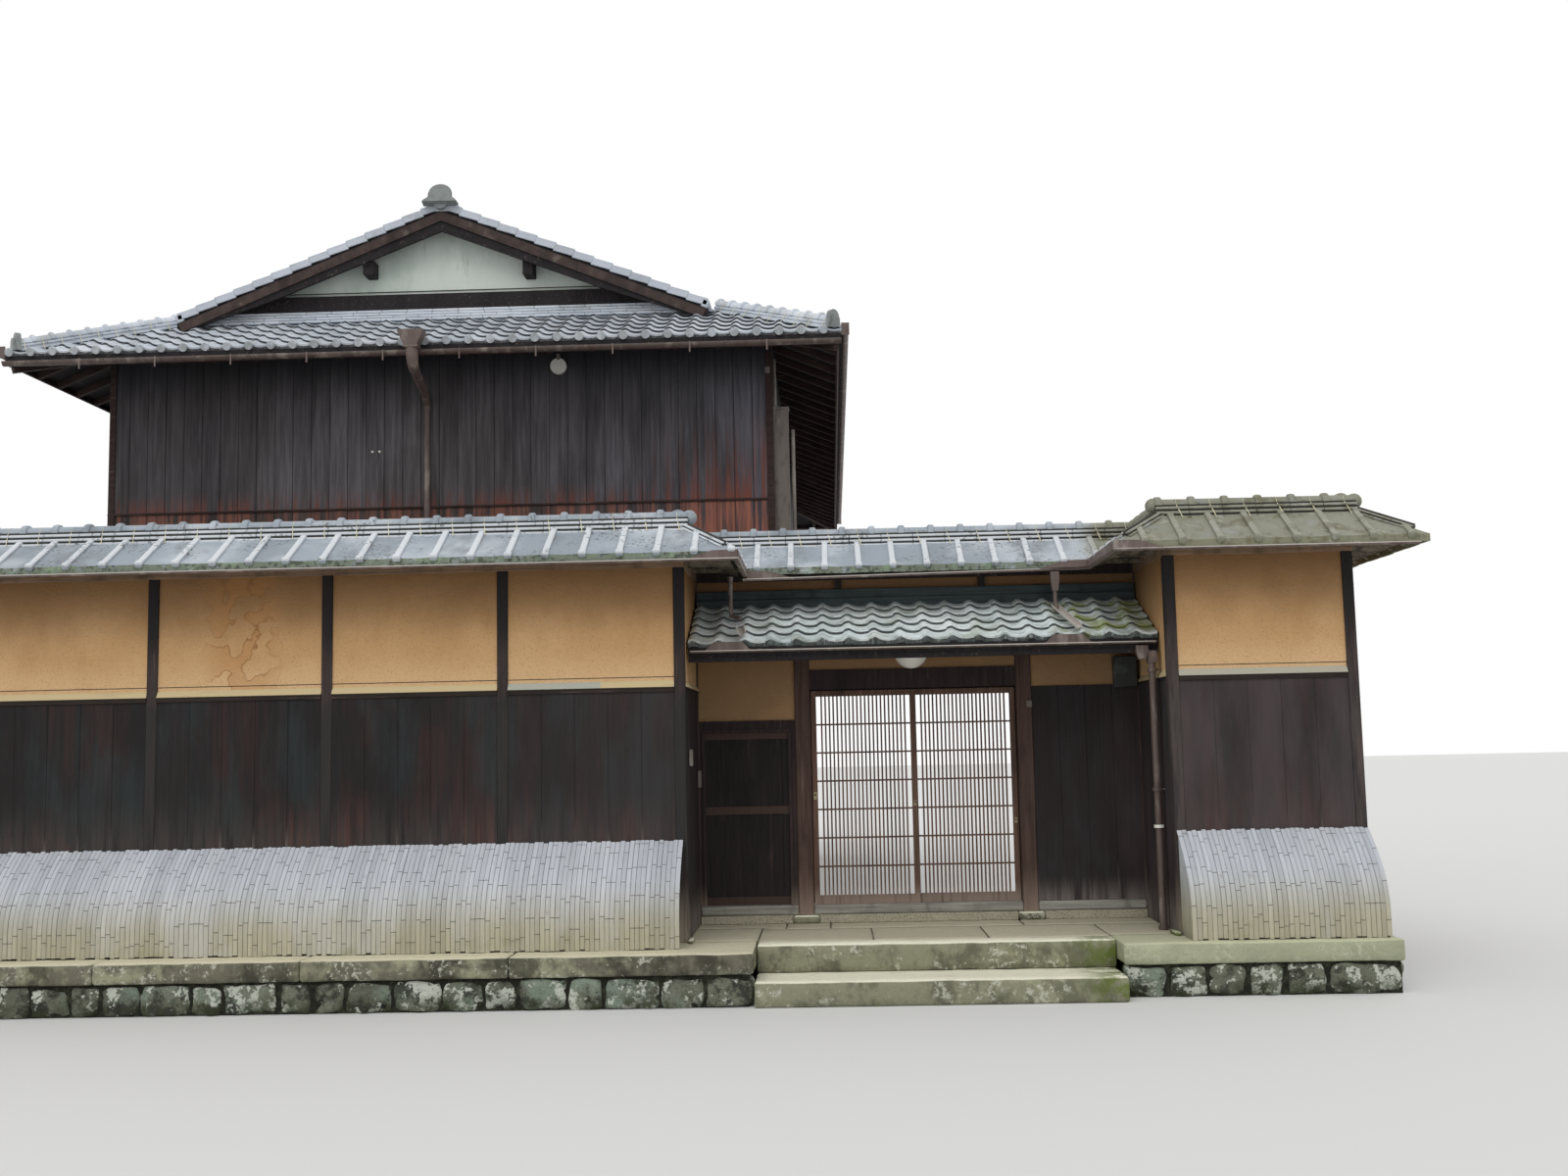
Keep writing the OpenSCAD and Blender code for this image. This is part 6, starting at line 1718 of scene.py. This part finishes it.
for x, way in ((recess_left, 1), (recess_right, -1)):
    corner_x = x + way * rim_out
    turns = ((corner_x - way * corner_plate, wall_mid - rim_out), (corner_x, wall_mid - rim_out),
             (corner_x, gate_mid - rim_out), (corner_x + way * corner_plate, gate_mid - rim_out))
    for number, (start, end) in enumerate(zip(turns, turns[1:])):
        tall = [(0.0, plate_tall), (plate_tall, plate_tall), (plate_tall, 0.0)][number]
        middle = Vector(start).lerp(Vector(end), 0.5)
        level = street_rim_z - 0.006 - (gate_fall if number == 2 and way > 0 else 0)
        outline = [(*start, level), (*end, level), (*end, level + tall[1] + 0.004),
                   (*middle, level + max(tall)), (*start, level + tall[0] + 0.004)]
        across = Vector(end) - Vector(start)
        thin = Vector((-across.y, across.x, 0)).normalized() * 0.003
        drawn(rain, outline, thin, tone=draw.random())

# Two short pipes bring the gate coping's water down to the pent roof, where an open half pipe
# lies on the tiles and throws it into the lower gutter
for x, foot_out, pipe_top, half_pipe_out, half_pipe_run, plate_shift in (
        (-1.61, 0.09, 0.04, 0.30, 0.117, 0.0), (1.255, 0.0, 0.19, 0.0, 0.11, 0.02)):
    slope_z = pent_edge_z + (inner_y - 0.06 - pent_low.y) * pent_rise + 0.11
    if foot_out:
        tube(rain, [(x, inner_y, street_rim_z - 0.01), (x, inner_y, street_rim_z - 0.05)], [0.03, 0.019])
    else:
        funnel(rain, x, inner_y, (street_rim_z - 0.03, 0.075, 0.06), (street_rim_z - 0.10, 0.075, 0.06),
               (street_rim_z - 0.20, 0.05, 0.05))
    tube(rain, swept([(x, inner_y, street_rim_z - pipe_top), (x, inner_y, slope_z),
                      (x + foot_out, inner_y - 0.09, slope_z - 0.03)], 0.04), [0.019] * 7)
    pipe(rain, x, inner_y, street_rim_z - 0.36, street_rim_z - 0.375, 0.023)
    top = Vector((x + foot_out, inner_y - half_pipe_out, 0))
    low = Vector((x + half_pipe_run, pent_low.y - 0.01, 0))
    for point in (top, low):
        point.z = pent_edge_z + (point.y - pent_low.y) * pent_rise + 0.115
    channel(rain, top, low, 0.036, tone=1, rim=0.7)
    outline = [(x + plate_shift + half, pent_gutter_y - gutter_r, pent_rim_z + tall)
               for half, tall in ((-0.20, 0), (0.20, 0), (0.12, 0.075), (-0.12, 0.075))]
    drawn(rain, outline, (0, 0.003, 0), tone=0.2)

# The pent gutter's outlet swings over to the downpipe by the right-hand wall
pipe_low, pipe_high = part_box("street_downpipes")
pipe_x, pipe_y = (pipe_low.x + pipe_high.x) / 2, (pipe_low.y + pipe_high.y) / 2
outlet = (pipe_x - 0.085, pent_gutter_y)
funnel(rain, *outlet, (pent_edge_z - 0.085, 0.10, 0.072), (pent_edge_z - 0.13, 0.10, 0.072),
       (pent_edge_z - 0.20, 0.062, 0.062))
tube(rain, swept([(*outlet, pent_edge_z - 0.19), (*outlet, pipe_high.z + 0.03),
                  (pipe_x, pipe_y, pipe_high.z - 0.04), (pipe_x, pipe_y, pipe_high.z - 0.14)], 0.05),
     [0.030] * 12)
for z in (pipe_high.z - 0.16, (pipe_high.z + pipe_low.z) / 2, pipe_low.z + 0.02):
    pipe(rain, pipe_x, pipe_y, z - 0.014, z + 0.014, 0.0415, 20)
    bar(rain, (pipe_x, pipe_y - 0.006, z - 0.006), (recess_right - 0.01, pipe_y + 0.006, z + 0.006), 0,
        tone=0.7)
shoe = swept([(pipe_x, pipe_y, pipe_low.z + 0.03), (pipe_x, pipe_y, pipe_low.z - 0.06),
              (pipe_x - 0.05, pipe_y - 0.05, pipe_low.z - 0.10)], 0.03)
tube(rain, shoe, [0.031] * len(shoe))

# The house's front gutter empties into a hopper hung before it, whose neck bends in to the wall
neck_foot_z = 5.93
down_x, down_y, down_z = house_mid - 0.13, house_low.y - 0.0353, neck_foot_z
hopper_x, hopper_y = down_x + 0.08, eave_low.y - 0.155
for tone, sections in ((0.5, ((0.115, 0.27, 0.16), (0.09, 0.27, 0.16), (-0.055, 0.135, 0.12))),
                       (0.9, ((-0.075, 0.155, 0.135), (-0.052, 0.155, 0.135)))):
    sections = [(eave_z + height, wide, deep) for height, wide, deep in sections]
    funnel(rain, hopper_x, hopper_y, *sections, tone=tone)
neck = swept([(hopper_x, hopper_y, eave_z - 0.07), (down_x + 0.09, hopper_y, eave_z - 0.26),
              (down_x + 0.01, down_y - 0.12, down_z + 0.06), (down_x, down_y, down_z - 0.03)], 0.11)
tube(rain, neck, [0.066 - 0.028 * number / (len(neck) - 1) for number in range(len(neck))], 18, tone=0.6)
pipe(rain, down_x, down_y, down_z - 0.09, down_z - 0.05, 0.042, 18)

# Brackets hang the front and back eaves' gutters, and a plate closes each corner
for number in range(1, 11):
    x = eave_low.x + number * (eave_high.x - eave_low.x) / 11 + 0.03
    for y, way in ((eave_low.y - 0.082, 1), (eave_high.y + 0.082, -1)):
        bar(rain, (x - 0.008, y, eave_z - roof_t - 0.11),
            (x + 0.008, y + way * 0.003, eave_z - roof_t + 0.006), 0, tone=1)
for (sx, sy), corner in corners.items():
    bar(rain, (*corner.xy, eave_z - 0.022),
        (corner.x + sx * 0.086, corner.y + sy * 0.008, eave_z + 0.11), 0.002, tone=0.3)
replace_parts(finished("rain_fittings", rain, gutter_steel, crisp=35), "street_gutters")


# Lamps, and what is screwed to the walls: a white glass globe over the gate, a round lamp
# under the eave, a service duct with its cap and pipe, small boxes, knobs and plates.
milk_glass = Finish("lamp_glass", (232, 230, 222), 0.25, specular=0.6)
milk_glass.coat((196, 190, 176), 0.35, milk_glass.patches(6, 0.5, 0.7))
dress(milk_glass.done(), "gate_lamp", "house_lamp")
duct_paint = Finish("duct_paint", (112, 104, 98), 0.6, metallic=0.1, specular=0.4)
duct_paint.coat((168, 162, 152), 0.6, duct_paint.patches(5, 0.5, 0.68, (1, 1, 0.2)))
duct_paint.coat((70, 62, 58), 0.6, duct_paint.patches(9, 0.5, 0.66, (1, 1, 0.3)))
duct_finish = duct_paint.done()
dress(duct_finish, "service_duct")
fittings = blank()
globe_low, globe_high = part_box("gate_lamp")
globe_x, globe_y = (globe_low.x + globe_high.x) / 2, (globe_low.y + globe_high.y) / 2
tube(fittings, [(globe_x, globe_y, globe_high.z - 0.012), (globe_x, globe_y, globe_high.z + 0.016)],
     [0.062, 0.05], 20)
duct_low, duct_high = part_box("service_duct")
bar(fittings, (duct_low.x, duct_low.y - 0.012, duct_high.z - 0.002),
    (duct_high.x + 0.012, duct_high.y + 0.012, duct_high.z + 0.03), 0.003)
for y in (duct_low.y, duct_high.y):
    bar(fittings, (duct_high.x - 0.012, y - 0.006, duct_low.z), (duct_high.x + 0.006, y + 0.006, duct_high.z),
        0)
pipe(fittings, house_high.x + 0.045, duct_low.y + 0.02, duct_high.z, eave_z - 0.03, 0.02, 12)
pipe(fittings, duct_high.x + 0.05, duct_high.y - 0.02, footing_top, duct_high.z - 0.22, 0.021, 12)
pipe(fittings, house_high.x - 0.03, house_low.y - 0.04, eave_z - 0.22, eave_z - 0.15, 0.03)
lamp_low, lamp_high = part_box("house_lamp")
lamp_x = (lamp_low.x + lamp_high.x) / 2
recess_face = recess_left + post_half
bar(fittings, (lamp_x - 0.02, lamp_low.y - 0.002, lamp_high.z - 0.02),
    (lamp_x + 0.02, house_low.y, lamp_high.z + 0.05), 0.003)
for y0, y1, z0, z1 in ((0.29, 0.35, 1.43, 1.57), (1.12, 1.19, 1.23, 1.38)):
    bar(fittings, (recess_face, y0, floor_z + z0), (recess_face + 0.03, y1, floor_z + z1), 0.004)
post_plate_low, post_plate_high = 2.30, 2.36
bar(fittings, (post_x + 0.02, gate_y - 0.006, post_plate_low), (post_x + 0.07, gate_y, post_plate_high),
    0.002)
finished("wall_fittings", fittings, duct_finish)
dark_metal = Finish("dark_fittings", (52, 56, 54), 0.6, specular=0.4)
dark_metal.coat((84, 92, 86), 0.6, dark_metal.patches(8, 0.48, 0.68))
boxes = blank()
box_low, box_high = 2.46, 2.74
bar(boxes, (recess_right - 0.27, gate_y - 0.10, box_low), (recess_right - 0.06, gate_y, box_high), 0.01)
finished("dark_boxes", boxes, dark_metal.done())
knobs = blank()
knob_z, pipe_band_z = 5.38, 1.25
for x in (-5.82, -5.74):
    tube(knobs, [(x, house_low.y - out, knob_z) for out in (0.045, 0.02, 0)], [0.012, 0.018, 0.012], 12)
pipe(knobs, pipe_x, pipe_y, pipe_band_z, pipe_band_z + 0.025, 0.0425, 20)
finished("white_knobs", knobs, milk_glass.material)
